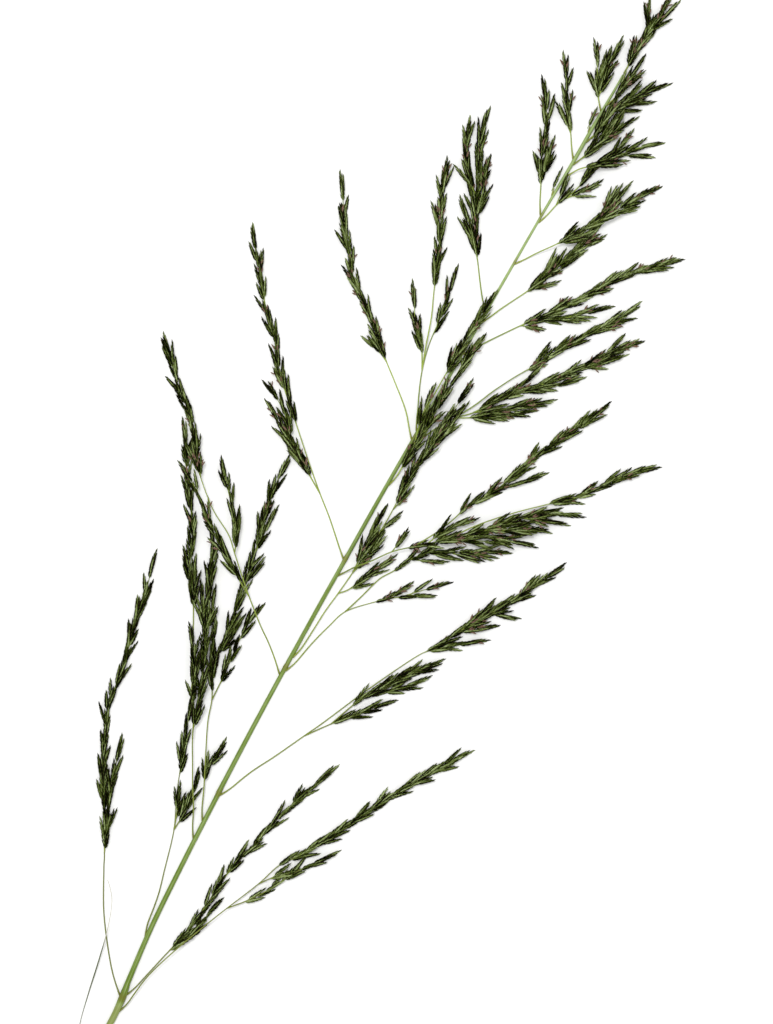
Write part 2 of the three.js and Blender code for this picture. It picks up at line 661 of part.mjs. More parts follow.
// A limb: rings of equal sides square to a path, joined side to side and closed at both ends. One side of
// each ring faces straight down, and a radius is the distance from the path to the middle of a side.
function limb(points, radii, sides) {
  const vertices = [];
  const triangles = [];
  const turn = Math.PI / sides;
  const reach = 1 / Math.cos(turn);
  points.forEach((point, i) => {
    const before = points[Math.max(i - 1, 0)];
    const after = points[Math.min(i + 1, points.length - 1)];
    const along = after.clone().sub(before).normalize();
    const across = along.clone().cross(UP).normalize();
    const upwards = across.clone().cross(along);
    for (let k = 0; k < sides; k += 1) {
      const angle = -Math.PI / 2 + turn + (2 * Math.PI * k) / sides;
      const side = across.clone().multiplyScalar(Math.cos(angle) * radii[i] * reach);
      const rise = upwards.clone().multiplyScalar(Math.sin(angle) * radii[i] * reach);
      vertices.push(...point.clone().add(side).add(rise).toArray());
    }
  });
  const last = (points.length - 1) * sides;
  for (let i = 0; i < points.length - 1; i += 1) {
    for (let k = 0; k < sides; k += 1) {
      const a = i * sides + k;
      const b = i * sides + ((k + 1) % sides);
      triangles.push(a, a + sides, b, b, a + sides, b + sides);
    }
  }
  for (let k = 1; k < sides - 1; k += 1) {
    triangles.push(0, k, k + 1);
    triangles.push(last, last + k + 1, last + k);
  }
  return solidOf(vertices, triangles);
}

// A spikelet: a flat underside and two sides that meet in a keel, pointed at both ends and widest just below
// the middle.
function spikelet(root, direction, length) {
  const across = direction.clone().cross(UP).normalize();
  const upwards = across.clone().cross(direction);
  const middle = root.clone().addScaledVector(direction, length * SPIKELET_WAIST);
  const bottom = middle.clone().addScaledVector(upwards, -SPIKELET_DEPTH / 3);
  const corners = [
    root.clone(),
    bottom.clone().addScaledVector(across, SPIKELET_WIDTH / 2),
    middle.clone().addScaledVector(upwards, (2 * SPIKELET_DEPTH) / 3),
    bottom.clone().addScaledVector(across, -SPIKELET_WIDTH / 2),
    root.clone().addScaledVector(direction, length),
  ];
  const triangles = [0, 1, 2, 0, 2, 3, 0, 3, 1, 4, 2, 1, 4, 3, 2, 4, 1, 3];
  return solidOf(corners.flatMap((corner) => corner.toArray()), triangles);
}

// Centre line and radius of the stem at a distance along it.
function stemAt(y) {
  const above = STEM.findIndex((point, i) => i > 0 && (point[1] >= y || i === STEM.length - 1));
  const high = STEM[above];
  const low = STEM[above - 1];
  const share = (y - low[1]) / (high[1] - low[1]);
  const mix = low.map((value, i) => value + share * (high[i] - value));
  return { centre: new THREE.Vector3(mix[0], mix[1], mix[2]), radius: mix[2] };
}

// Where a branch starts: beside the stem, or past its end for the one that goes on from it.
function footOf([y, side]) {
  const { centre, radius } = stemAt(y);
  const reach = radius + SEAT_GAP + THREAD_THICKNESS / Math.sqrt(3);
  return new THREE.Vector3(centre.x + side * reach, y, Math.max(radius, THREAD_THICKNESS / 2));
}

// The smooth line through a thread's points.
function lineOf(points) {
  return new THREE.CatmullRomCurve3(points, false, 'catmullrom', 0.5);
}

// The threads of a branch as smooth lines, the first from the branch's foot and the others from a thread.
function linesOf({ foot, threads }) {
  const routes = [];
  threads.forEach((thread) => {
    const route = thread.route.map((point) => new THREE.Vector3(...point));
    const start = thread.on
      ? routes[thread.on[0]][thread.on[1] + 1].clone().addScaledVector(UP, FORK_LIFT)
      : footOf(foot);
    routes.push([start, ...route]);
  });
  return routes.map(lineOf);
}

// The direction of a spikelet that leaves a thread at lean degrees to one side and rise degrees upwards.
function directionOf(tangent, lean, rise) {
  const flat = new THREE.Vector3(tangent.x, tangent.y, 0).normalize();
  flat.applyAxisAngle(UP, THREE.MathUtils.degToRad(lean));
  const climb = Math.atan2(tangent.z, Math.hypot(tangent.x, tangent.y)) + THREE.MathUtils.degToRad(rise);
  return flat.multiplyScalar(Math.cos(climb)).addScaledVector(UP, Math.sin(climb));
}

// The spikelets of one thread, left and right by turns, and the last one straight ahead.
function spikeletsOf(line, bare, seed) {
  const total = line.getLength();
  const grown = total - END_OVERLAP - bare;
  const count = Math.max(0, Math.floor(grown / PITCH));
  const solids = [];
  for (let k = 0; k <= count; k += 1) {
    const ahead = k === count;
    const draw = seed + k;
    const at = ahead ? total - END_OVERLAP : bare + PITCH * (k + 0.35 + 0.25 * wobble(draw, SILVER));
    const root = line.getPointAt(at / total);
    const tangent = line.getTangentAt(at / total);
    const side = k % 2 === 0 ? 1 : -1;
    const lean = side * (ahead ? LAST_LEAN : LEAN + LEAN_SPREAD * wobble(draw, GOLDEN));
    const length = SPIKELET_LENGTH * (1 + LENGTH_SPREAD * wobble(draw, PLASTIC));
    const rise = ahead ? 0 : RISE + RISE_SPREAD * wobble(draw, SILVER);
    const direction = directionOf(tangent, lean, rise);
    const drop = (LOWEST - root.z) / length;
    if (direction.z < drop) direction.setZ(drop).normalize();
    solids.push(spikelet(root, direction, length));
  }
  return solids;
}

// One thread, as a three-sided limb along its line. A triangle's inner radius is a third of its height.
function threadOf(line) {
  const steps = Math.max(1, Math.round(line.getLength() / THREAD_STEP));
  const points = line.getSpacedPoints(steps);
  return limb(points, points.map(() => THREAD_THICKNESS / 3), 3);
}

// The largest body of a solid, without loose scraps and sealed hollows.
function mainBody(solid) {
  return solid.decompose().reduce((best, body) => (body.volume() > best.volume() ? body : best));
}

function meshOf(name, solid, material) {
  const { vertProperties, triVerts } = mainBody(solid.asOriginal().simplify(FINEST_EDGE)).getMesh();
  const geometry = new THREE.BufferGeometry();
  geometry.setAttribute('position', new THREE.BufferAttribute(vertProperties, 3));
  geometry.setIndex(new THREE.BufferAttribute(triVerts, 1));
  const mesh = new THREE.Mesh(geometry, material);
  mesh.name = name;
  return mesh;
}

// One branch: its threads and spikelets joined in one body.
function branchMesh(name, branch, order) {
  const solids = [];
  linesOf(branch).forEach((line, i) => {
    solids.push(threadOf(line));
    solids.push(...spikeletsOf(line, branch.threads[i].bare, 100 * order + 20 * i));
  });
  return meshOf(name, wasm.Manifold.union(solids), SPRAY_MATERIAL);
}

function stemMesh() {
  const points = STEM.map(([x, y, radius]) => new THREE.Vector3(x, y, radius));
  return meshOf('stem', limb(points, STEM.map((point) => point[2]), STEM_SIDES), STEM_MATERIAL);
}

function leafMesh() {
  const line = lineOf([footOf([LEAF_FOOT, LEFT]), ...LEAF.map((point) => new THREE.Vector3(...point))]);
  const points = line.getSpacedPoints(12);
  return meshOf('leaf_tip', limb(points, points.map(() => THREAD_THICKNESS / 3), 3), LEAF_MATERIAL);
}

const grass = new THREE.Group();
grass.name = 'weeping_love_grass';
grass.add(stemMesh());
grass.add(leafMesh());
Object.entries(BRANCHES).forEach(([name, branch], order) => grass.add(branchMesh(name, branch, order)));

export default grass;
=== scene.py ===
"""Weeping love grass: the looks of one cut flowering stem that lies flat, seen from straight above.

The CAD frame gives the stem, the leaf tip and the sprays. Each of these nodes is replaced here by a finer
piece that follows the same routes: round threads, and spikelets made of overlapping keeled scales.
Sizes are in millimetres until a mesh is made. Only the board, the lamp and the camera's clipping are in
metres from the start.
"""

import logging
import math
from dataclasses import dataclass, field, fields
from enum import Enum

import bpy
import numpy as np
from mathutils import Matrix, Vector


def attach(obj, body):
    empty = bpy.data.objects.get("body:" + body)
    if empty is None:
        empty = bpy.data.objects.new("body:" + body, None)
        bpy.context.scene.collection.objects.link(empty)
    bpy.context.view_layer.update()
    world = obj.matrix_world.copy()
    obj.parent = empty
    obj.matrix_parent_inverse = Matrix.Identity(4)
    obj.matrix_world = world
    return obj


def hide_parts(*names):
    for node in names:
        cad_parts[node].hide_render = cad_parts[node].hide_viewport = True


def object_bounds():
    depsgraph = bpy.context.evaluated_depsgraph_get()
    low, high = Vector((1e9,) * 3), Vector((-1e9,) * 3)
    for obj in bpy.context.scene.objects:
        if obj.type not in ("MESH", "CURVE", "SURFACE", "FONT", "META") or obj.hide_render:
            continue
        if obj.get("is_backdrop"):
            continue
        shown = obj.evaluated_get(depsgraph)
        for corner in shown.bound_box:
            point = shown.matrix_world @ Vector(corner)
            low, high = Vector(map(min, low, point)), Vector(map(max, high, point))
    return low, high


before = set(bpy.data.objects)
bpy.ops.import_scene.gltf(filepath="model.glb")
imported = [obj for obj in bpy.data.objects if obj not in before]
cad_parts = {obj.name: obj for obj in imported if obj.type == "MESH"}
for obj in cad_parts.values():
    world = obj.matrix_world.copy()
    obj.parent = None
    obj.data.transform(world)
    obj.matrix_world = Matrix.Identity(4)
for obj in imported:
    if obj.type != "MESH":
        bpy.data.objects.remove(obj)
CAD_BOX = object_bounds()

MM = 0.001
CEILING = CAD_BOX[1][2] / MM
UP = np.array((0.0, 0.0, 1.0))
LOG = logging.getLogger("love_grass")

# Red, green and blue, from 0 to 1
Colour = tuple[float, float, float]

# How fine a noise is across a piece and along it, in spots per millimetre
Grain = tuple[float, float]

# Pairs of a place and what belongs to it
Pairs = tuple[tuple[float, float], ...]


class Side(Enum):
    """The side of the stem that a branch leaves from, as a sign along X."""

    LEFT = -1
    RIGHT = 1
    ABOVE = 0


class Skin(Enum):
    """The finishes of a spray, in the order of its material slots."""

    THREAD = 0
    SCALE = 1
    ANTHER = 2


@dataclass(frozen=True)
class Foot:
    """Where a branch leaves the stem: how far along it, and on which side."""

    y: float
    side: Side


@dataclass(frozen=True)
class Thread:
    """One thread of a branch.

    Its route starts at the branch's foot, or on an earlier thread: on gives that thread's place in the list
    and the place of the point in its route, counted from 0. bare is the length at its start that carries no
    spikelets.
    """

    bare: float
    route: list[tuple[float, float, float]]
    on: tuple[int, int] | None = None


@dataclass(frozen=True)
class Branch:
    """A branch of the flower head: its foot on the stem and its threads."""

    foot: Foot
    threads: list[Thread]


# The stem: x, y and radius. It lies on the surface, so its centre is a radius above.
STEM = (
    (-0.1, -6, 0.92),
    (0, 8, 0.9),
    (0.15, 20, 0.9),
    (0, 24.5, 0.93),
    (-0.3, 28, 1.04),
    (-0.75, 31, 0.88),
    (-1.15, 34, 0.76),
    (-2.6, 50, 0.7),
    (-3.4, 70, 0.66),
    (-3.85, 88, 0.66),
    (-3.95, 91, 0.78),
    (-4.05, 94, 0.66),
    (-4.25, 110, 0.62),
    (-4.3, 128, 0.6),
    (-4.3, 130.5, 0.74),
    (-4.3, 133, 0.6),
    (-4.2, 150, 0.58),
    (-4, 163, 0.58),
    (-4, 165.5, 0.68),
    (-3.95, 168, 0.57),
    (-3.8, 180, 0.55),
    (-3.4, 200, 0.5),
    (-2.9, 220, 0.44),
    (-2.5, 240, 0.4),
    (-2, 262, 0.35),
    (-1.6, 277, 0.34),
    (-1.25, 287, 0.44),
    (-0.95, 295, 0.52),
    (-0.8, 304, 0.5),
    (-0.6, 311, 0.42),
    (-0.4, 317, 0.32),
    (-0.3, 322, 0.3),
)

# The route of the hair-thin leaf tip
LEAF = (
    (-3.7, 8, 0.5), (-7, 15, 0.6), (-9.1, 24, 0.8), (-11, 34, 2.2), (-13, 43, 3.2), (-15.5, 50, 2.6),
    (-18, 53.3, 1.4), (-19.6, 54.8, 0.7),
)

# The branches, in the order of the nodes
BRANCHES = {
    "spray_left_1": Branch(foot=Foot(28.6, Side.LEFT), threads=[
        Thread(bare=51, route=[
            (-8, 35, 0.8), (-16, 46, 0.8), (-22, 57, 0.8), (-24, 61, 0.8), (-31, 73.5, 0.8), (-36, 82, 0.8),
            (-39.5, 90, 0.8), (-42.5, 97, 0.8), (-44.2, 109, 0.8), (-47, 121, 0.8), (-48.5, 130, 0.8),
            (-50.5, 137.5, 0.8),
        ]),
        Thread(on=(0, 3), bare=0.5, route=[
            (-26.4, 66.5, 1.2), (-29.5, 73.5, 0.9), (-31.8, 80, 0.8), (-34, 88, 0.8),
        ]),
    ]),
    "spray_left_2": Branch(foot=Foot(46.5, Side.LEFT), threads=[
        Thread(bare=47, route=[
            (-5, 57, 0.8), (-7, 65, 0.8), (-10, 76, 0.8), (-14, 85, 0.8), (-17, 93, 0.8), (-19.8, 101, 0.8),
            (-22, 107.5, 0.8),
        ]),
        Thread(on=(0, 6), bare=28.5, route=[
            (-27, 118.5, 0.8), (-31, 126, 0.8), (-36.5, 136, 0.8), (-40.5, 141, 0.8), (-44.3, 150, 0.8),
            (-49, 157.5, 0.8), (-53, 162.5, 0.8), (-57.5, 170.5, 0.8), (-60, 174.5, 0.8),
        ]),
        Thread(on=(0, 2), bare=3, route=[(-11.7, 81, 0.9), (-13.3, 84.5, 0.8)]),
        Thread(on=(0, 2), bare=2, route=[(-9.8, 80, 1.2), (-10, 86, 0.8), (-10.9, 90.5, 0.8)]),
        Thread(on=(1, 2), bare=0.5, route=[(-38.2, 139.3, 1.2), (-39.6, 142.2, 1)]),
    ]),
    "spray_left_3": Branch(foot=Foot(77, Side.LEFT), threads=[
        Thread(bare=30.5, route=[
            (-8, 84, 2.8), (-11.5, 90, 3.3), (-14.5, 95.5, 3.3), (-17.5, 101, 3.3), (-19.5, 106, 3.4),
            (-22, 114, 3.4), (-25, 121, 3.4), (-28, 128, 3.2), (-33.5, 140, 2.2), (-37, 148.5, 0.8),
            (-39.8, 153, 0.8),
        ]),
        Thread(on=(0, 3), bare=10, route=[
            (-20.4, 107, 3.6), (-23.7, 113, 3.5), (-27, 119.5, 3.1), (-30, 124, 2.7), (-31.5, 126, 2.5),
        ]),
        Thread(on=(0, 7), bare=0.5, route=[(-31.5, 132.8, 2.9), (-34, 137, 2.2)]),
        Thread(on=(0, 7), bare=2, route=[(-29.3, 133.5, 2.8), (-31.2, 138.3, 2.2)]),
    ]),
    "spray_left_4": Branch(foot=Foot(82.6, Side.LEFT), threads=[
        Thread(bare=35, route=[
            (-8, 90, 2.6), (-12, 98.5, 3), (-16, 107, 2), (-18, 113, 1.3), (-20.5, 118, 0.8),
            (-22.5, 125, 0.8), (-23.5, 135, 0.8), (-25.5, 145, 0.8), (-27, 155, 0.8), (-29.5, 165, 0.8),
            (-31, 174, 0.8), (-31.2, 179, 0.8),
        ]),
        Thread(on=(0, 3), bare=5, route=[
            (-18.3, 120, 0.9), (-19, 128, 0.8), (-19.4, 135, 0.8), (-18.9, 139.5, 0.8),
        ]),
        Thread(on=(0, 0), bare=2, route=[(-9.6, 94, 2), (-9.5, 99, 1.4), (-9.3, 101.5, 1.2)]),
        Thread(on=(0, 4), bare=0.5, route=[(-23.2, 122, 0.9), (-25.6, 127.3, 0.8), (-26.3, 130, 0.8)]),
        Thread(on=(0, 5), bare=0.5, route=[(-22, 130, 0.8), (-21.8, 133.8, 0.8)]),
        Thread(on=(0, 7), bare=0.5, route=[(-24.6, 149.8, 1.1)]),
        Thread(on=(0, 8), bare=0.5, route=[(-27.3, 159.5, 1.2), (-27.6, 164.5, 1)]),
    ]),
    "spray_left_5": Branch(foot=Foot(128.9, Side.LEFT), threads=[
        Thread(bare=60, route=[
            (-8, 131.5, 2), (-12, 135, 3.6), (-16, 138, 4.6), (-22.5, 143.5, 4.8), (-28, 148.5, 4.4),
            (-32, 152.3, 3.8), (-36, 156, 3.5), (-43, 160, 3.4), (-50.3, 166.2, 3.4), (-54, 170.3, 3.4),
            (-57.6, 176, 3.2), (-62, 180.7, 2), (-67.8, 185.4, 0.8), (-73.6, 191.3, 0.8),
            (-75.6, 193.1, 0.8),
        ]),
        Thread(on=(0, 3), bare=4, route=[
            (-28, 146.8, 4.2), (-36, 152, 3.5), (-40, 154.5, 3.4), (-44, 158, 3.4), (-48, 161.5, 3.4),
            (-54.5, 165.5, 3.3),
        ]),
        Thread(on=(0, 5), bare=0.5, route=[
            (-33.5, 156.5, 3.2), (-37, 161, 2.4), (-40.5, 165, 1.4), (-45, 170, 0.8),
        ]),
        Thread(on=(0, 8), bare=0.5, route=[(-53.2, 170.2, 3.3), (-56.2, 174.3, 3)]),
    ]),
    "spray_left_6": Branch(foot=Foot(165.8, Side.LEFT), threads=[
        Thread(bare=39, route=[
            (-10, 170.3, 0.9), (-14, 174, 1.4), (-19, 178.2, 2.2), (-26, 184.5, 2.2), (-34, 192, 1.4),
            (-40, 197.5, 0.8), (-46, 203.5, 0.8), (-49.8, 209.2, 0.8), (-53.6, 212.9, 0.8),
            (-57.7, 217.4, 0.8), (-63, 224, 0.8), (-67, 229, 0.8), (-69.3, 232, 0.8),
        ]),
        Thread(on=(0, 2), bare=5, route=[
            (-24, 181.3, 2.9), (-31, 185.6, 3.3), (-36, 191, 2), (-41, 195, 0.8), (-44.5, 196.8, 0.8),
        ]),
        Thread(on=(1, 1), bare=0.5, route=[(-35.2, 188, 2.5), (-39.3, 190.6, 1.2), (-41.6, 192.1, 0.8)]),
        Thread(on=(1, 0), bare=0.5, route=[(-28.7, 183.8, 3), (-33.4, 186.2, 2.4)]),
    ]),
    "spray_left_7": Branch(foot=Foot(204.3, Side.LEFT), threads=[
        Thread(bare=22, route=[
            (-9, 210, 0.8), (-16, 216, 0.9), (-20.3, 219.5, 0.8), (-27, 225.5, 0.8), (-33, 230.5, 0.8),
            (-39, 235, 0.8), (-42.5, 239.8, 0.8), (-46, 243.5, 0.8), (-49, 247.5, 0.8), (-52, 252.5, 0.8),
            (-54, 255.8, 0.8),
        ]),
        Thread(on=(0, 2), bare=1, route=[(-23, 220.8, 0.9), (-26, 221.6, 0.8)]),
    ]),
    "spray_left_8": Branch(foot=Foot(207, Side.LEFT), threads=[
        Thread(bare=27, route=[
            (-6, 211.5, 0.8), (-8, 216, 0.9), (-10.3, 222, 1.2), (-12, 229, 0.8), (-12.7, 236, 0.8),
            (-13.3, 242, 0.8), (-14.7, 248, 0.8),
        ]),
        Thread(on=(0, 2), bare=4, route=[
            (-13, 226.8, 0.9), (-16, 230.5, 0.8), (-18.7, 233.5, 0.8), (-20.6, 236.5, 0.8),
            (-22.2, 238.7, 0.8),
        ]),
        Thread(on=(0, 2), bare=23, route=[
            (-12.6, 228.5, 1.8), (-15, 236, 1.8), (-17.5, 242, 1.3), (-20, 248, 0.8), (-22, 253, 0.8),
            (-24, 258, 0.8), (-26.3, 262.5, 0.8), (-28.5, 267.2, 0.8), (-30.8, 273.5, 0.8),
        ]),
        Thread(on=(2, 5), bare=1, route=[(-27, 261.3, 0.8)]),
    ]),
    "spray_left_9": Branch(foot=Foot(245.6, Side.LEFT), threads=[
        Thread(bare=14, route=[
            (-7, 250.3, 0.9), (-11, 256, 0.8), (-14, 260, 0.8), (-17, 266, 0.8), (-20, 272, 0.8),
            (-22.5, 277.5, 0.8), (-25, 282, 0.8), (-27, 287, 0.8), (-28, 291, 0.8),
        ]),
        Thread(on=(0, 4), bare=2, route=[
            (-23.8, 274.8, 0.9), (-27, 279, 0.8), (-29.5, 283.5, 0.8), (-31, 287.5, 0.8),
        ]),
        Thread(on=(0, 2), bare=1, route=[(-18.3, 262.6, 0.9)]),
        Thread(on=(0, 2), bare=1, route=[(-16.8, 263, 1.2), (-20.5, 266.3, 0.9)]),
        Thread(on=(0, 4), bare=2, route=[(-20.4, 275.5, 1.2), (-21.6, 280.5, 0.9)]),
        Thread(on=(0, 3), bare=0.5, route=[(-18, 271, 1.2), (-20, 276, 0.9)]),
        Thread(on=(0, 3), bare=1, route=[(-20.2, 269.8, 0.9), (-23, 273.3, 0.8)]),
    ]),
    "spray_left_10": Branch(foot=Foot(276.6, Side.LEFT), threads=[
        Thread(bare=7, route=[
            (-6.2, 284.2, 0.9), (-8.5, 288.5, 0.8), (-10.5, 293.5, 0.8), (-12.5, 299, 0.8),
            (-15, 303.3, 0.8), (-17, 306.3, 0.8),
        ]),
        Thread(on=(0, 3), bare=0.5, route=[(-13.3, 303, 1.2)]),
        Thread(on=(0, 0), bare=1.5, route=[(-8.8, 287.2, 0.9)]),
        Thread(on=(0, 0), bare=2, route=[(-7.2, 289, 1.2), (-8.2, 293, 1)]),
    ]),
    "spray_left_11": Branch(foot=Foot(294.8, Side.LEFT), threads=[
        Thread(bare=6, route=[
            (-5.5, 300.3, 0.9), (-8.5, 304.5, 0.8), (-11.5, 309, 0.8), (-14, 313.3, 0.8), (-15.2, 315, 0.8),
        ]),
        Thread(on=(0, 0), bare=1, route=[(-9, 303, 0.8)]),
    ]),
    "spray_left_12": Branch(foot=Foot(310.3, Side.LEFT), threads=[
        Thread(bare=2, route=[
            (-3.5, 312.8, 0.8), (-5.5, 316, 0.8), (-7.2, 319.3, 0.8), (-9.2, 322.4, 0.8),
        ]),
        Thread(on=(0, 0), bare=0.5, route=[(-4, 317, 1.2), (-4.8, 321, 1.2), (-5, 325.6, 1.2)]),
        Thread(on=(0, 1), bare=0.5, route=[(-6.4, 320.5, 1.4)]),
        Thread(on=(0, 0), bare=0.5, route=[(-5.6, 314.6, 0.8)]),
        Thread(on=(0, 1), bare=0.5, route=[(-5.4, 319.3, 1.3), (-6.2, 322.3, 1.2)]),
    ]),
    "spikelet_left_13": Branch(foot=Foot(283, Side.LEFT), threads=[
        Thread(bare=9, route=[(-2.5, 285.5, 0.8)]),
    ]),
    "spikelet_left_14": Branch(foot=Foot(303.4, Side.LEFT), threads=[
        Thread(bare=9, route=[(-2, 305.6, 0.9)]),
    ]),
    "spray_right_1": Branch(foot=Foot(29.6, Side.RIGHT), threads=[
        Thread(bare=15, route=[
            (2.3, 35, 0.8), (3.8, 41, 0.8), (5.1, 46, 0.8), (6.8, 52, 0.8), (7.8, 60, 0.8), (8.6, 68, 0.8),
            (9.6, 76, 0.8), (12, 84, 0.8), (13.9, 92, 0.8), (16, 99, 0.8), (18.2, 104, 0.8),
            (20, 109.3, 0.8),
        ]),
        Thread(on=(0, 2), bare=1, route=[(7.8, 51, 1.2), (9.1, 57, 0.8), (10.1, 61.8, 0.8)]),
    ]),
    "spray_right_2": Branch(foot=Foot(24.6, Side.RIGHT), threads=[
        Thread(bare=60, route=[
            (2.2, 31, 2.6), (3.4, 38, 3.3), (6.8, 48, 3.3), (11.5, 59.5, 3.1), (13.5, 64, 2.4),
            (18, 74, 1.2), (20.5, 81, 0.8), (24, 86, 0.8), (27.5, 92, 0.8), (33, 102, 0.8),
            (37.5, 111, 0.8), (43.5, 121, 0.8), (48, 128, 0.8), (50.3, 131.6, 0.8),
        ]),
        Thread(on=(0, 4), bare=4, route=[
            (17.5, 68.5, 1.5), (21, 73.5, 0.9), (24, 79, 0.8), (27, 84, 0.8), (30.6, 88.7, 0.8),
        ]),
        Thread(on=(0, 5), bare=2, route=[(20.5, 77.3, 1.2), (24, 80.8, 0.8)]),
    ]),
    "spray_right_3": Branch(foot=Foot(91.2, Side.RIGHT), threads=[
        Thread(bare=69, route=[
            (1, 100, 0.8), (5, 107.5, 0.8), (9.5, 116.5, 0.8), (12.5, 122.5, 0.8), (19, 136.5, 0.8),
            (26.5, 151, 0.8), (30, 155.5, 0.8), (33.5, 162.5, 0.8), (39, 171.5, 0.8), (42.5, 177, 0.8),
            (46, 184, 0.8), (49, 189.8, 0.8),
        ]),
        Thread(on=(0, 2), bare=8, route=[(14.5, 123, 0.9), (19, 128.3, 0.8), (24.7, 134.8, 0.8)]),
        Thread(on=(1, 0), bare=7, route=[
            (18, 132, 1.2), (21, 136.5, 0.9), (24, 141, 0.8), (27, 145.5, 0.8), (31, 150.3, 0.8),
        ]),
        Thread(on=(2, 1), bare=2, route=[(25, 139.3, 0.8), (29.8, 144.4, 0.8)]),
        Thread(on=(0, 6), bare=0.5, route=[(33.6, 158, 0.9), (38, 161.6, 0.8)]),
        Thread(on=(0, 7), bare=0.5, route=[(36.5, 164.6, 0.9), (39.6, 167.3, 0.8)]),
        Thread(on=(0, 8), bare=0, route=[(42.8, 172.6, 0.9)]),
        Thread(on=(0, 7), bare=1, route=[(36.3, 168.5, 1.2), (36.9, 171.7, 1.1)]),
        Thread(on=(0, 8), bare=0, route=[(40.2, 174, 1.2)]),
        Thread(on=(2, 1), bare=0.5, route=[(23.2, 140.8, 1.2), (25.5, 144.8, 1)]),
    ]),
    "spray_right_4": Branch(foot=Foot(130.6, Side.RIGHT), threads=[
        Thread(bare=32, route=[
            (-1, 140, 0.9), (1, 147, 0.8), (3, 152.5, 0.8), (8, 157.9, 0.8), (12, 161.4, 0.8),
            (16, 164.9, 0.8), (19.5, 168.4, 0.8), (21.9, 170.9, 0.8),
        ]),
        Thread(on=(0, 2), bare=17, route=[
            (5, 158.5, 0.9), (7, 165, 0.8), (9.5, 169, 0.8), (12, 174, 0.8), (15.5, 178, 0.8),
            (20.5, 181, 0.8), (25, 183.3, 0.8), (31.6, 187, 0.8),
        ]),
        Thread(on=(0, 4), bare=0.5, route=[(13.2, 163.6, 0.9), (13.9, 164.6, 0.8)]),
        Thread(on=(1, 4), bare=0.5, route=[(20.5, 179.3, 0.9)]),
        Thread(on=(1, 3), bare=0.5, route=[(17.3, 176.3, 1)]),
        Thread(on=(1, 5), bare=0.5, route=[(25.5, 182, 0.9)]),
        Thread(on=(1, 6), bare=0.5, route=[(28.5, 184.3, 0.8)]),
        Thread(on=(0, 5), bare=0.5, route=[(18.4, 166, 0.8)]),
    ]),
    "spray_right_5": Branch(foot=Foot(134.8, Side.RIGHT), threads=[
        Thread(bare=51, route=[
            (-2.4, 144, 1.3), (-2, 150, 1.3), (-1.2, 156, 1.2), (-0.4, 163, 0.9), (0.3, 170, 0.8),
            (0.9, 177, 0.8), (1.1, 184, 0.8), (0.9, 194, 1.6), (1.7, 202, 2.6), (2.2, 210, 2.6),
            (2.8, 217, 2.4), (3.2, 221.5, 2.2),
        ]),
        Thread(on=(0, 3), bare=2, route=[(-0.7, 171, 1.9), (-1.1, 180.5, 1.7)]),
        Thread(on=(0, 2), bare=3.5, route=[(1, 158.6, 1.2), (3.4, 163.8, 0.8), (6.2, 169.2, 0.8)]),
        Thread(on=(0, 3), bare=1, route=[(1.1, 168.5, 1.2), (1.6, 174, 0.9)]),
        Thread(on=(0, 5), bare=0.5, route=[(2.4, 180.8, 0.9)]),
        Thread(on=(0, 6), bare=0.5, route=[(2.3, 188.4, 1.2)]),
        Thread(on=(0, 8), bare=0.5, route=[(3.2, 207, 2.6), (3.9, 212, 2.4), (4.4, 215.8, 2.2)]),
    ]),
    "spray_right_6": Branch(foot=Foot(161, Side.RIGHT), threads=[
        Thread(bare=20, route=[
            (-1, 164.2, 2.6), (2.5, 168.3, 3.7), (6.5, 173.5, 3.4), (11, 177.5, 3.4), (14, 180, 3.4),
            (18, 183.5, 3.3), (22, 187, 3.3), (26, 191, 3.3), (30, 195, 3), (34, 199, 2.2), (38, 202, 1.2),
            (42, 204.5, 0.8), (45, 206, 0.8),
        ]),
        Thread(on=(0, 6), bare=2, route=[(27, 189.5, 3.3), (32, 191.2, 3.2), (37, 192.8, 2.6)]),
        Thread(on=(0, 8), bare=2, route=[(34, 196.5, 2.6), (39.2, 198.3, 1.8)]),
        Thread(on=(0, 5), bare=30, route=[
            (24, 191.5, 3.3), (31, 199, 2.8), (38, 205.5, 1.6), (42, 209, 0.8), (45, 212, 0.8),
            (50, 218.5, 0.8), (54, 223.5, 0.8), (57.3, 226.8, 0.8),
        ]),
        Thread(on=(0, 3), bare=15, route=[
            (14.5, 183.5, 3.3), (17, 189, 2.8), (19, 194.5, 1.6), (21.5, 198.5, 0.8), (24, 203, 0.8),
            (26.5, 209, 0.8), (28.5, 214.5, 0.8), (32, 221.5, 0.8), (35.5, 228, 0.8), (38.6, 234.8, 0.8),
        ]),
        Thread(on=(4, 4), bare=2, route=[(28, 206.5, 0.9), (31.2, 210.3, 0.8)]),
        Thread(on=(0, 2), bare=0.5, route=[(6.9, 176.3, 3)]),
        Thread(on=(0, 4), bare=1, route=[(17, 186.5, 3.3), (20.2, 190, 3)]),
        Thread(on=(0, 5), bare=0.5, route=[(22.5, 185.8, 3.5), (27, 188, 3.5), (30.5, 189.2, 3.3)]),
        Thread(on=(0, 7), bare=0.5, route=[(31, 193.6, 3.4), (36, 196, 2.8)]),
        Thread(on=(0, 9), bare=0.5, route=[(38.6, 200.8, 2), (41.6, 202, 1.4)]),
        Thread(on=(0, 9), bare=0.5, route=[(37.4, 202.4, 2), (40, 204, 1.4)]),
    ]),
    "spray_right_7": Branch(foot=Foot(203.3, Side.RIGHT), threads=[
        Thread(bare=21, route=[
            (1, 210, 0.8), (4, 214.7, 0.8), (8, 218.6, 0.8), (13, 226, 0.8), (19, 232, 0.8),
            (23.5, 237.5, 0.8), (28, 243.5, 0.8), (32, 249, 0.8), (36, 254.3, 0.8), (37.7, 256, 0.8),
        ]),
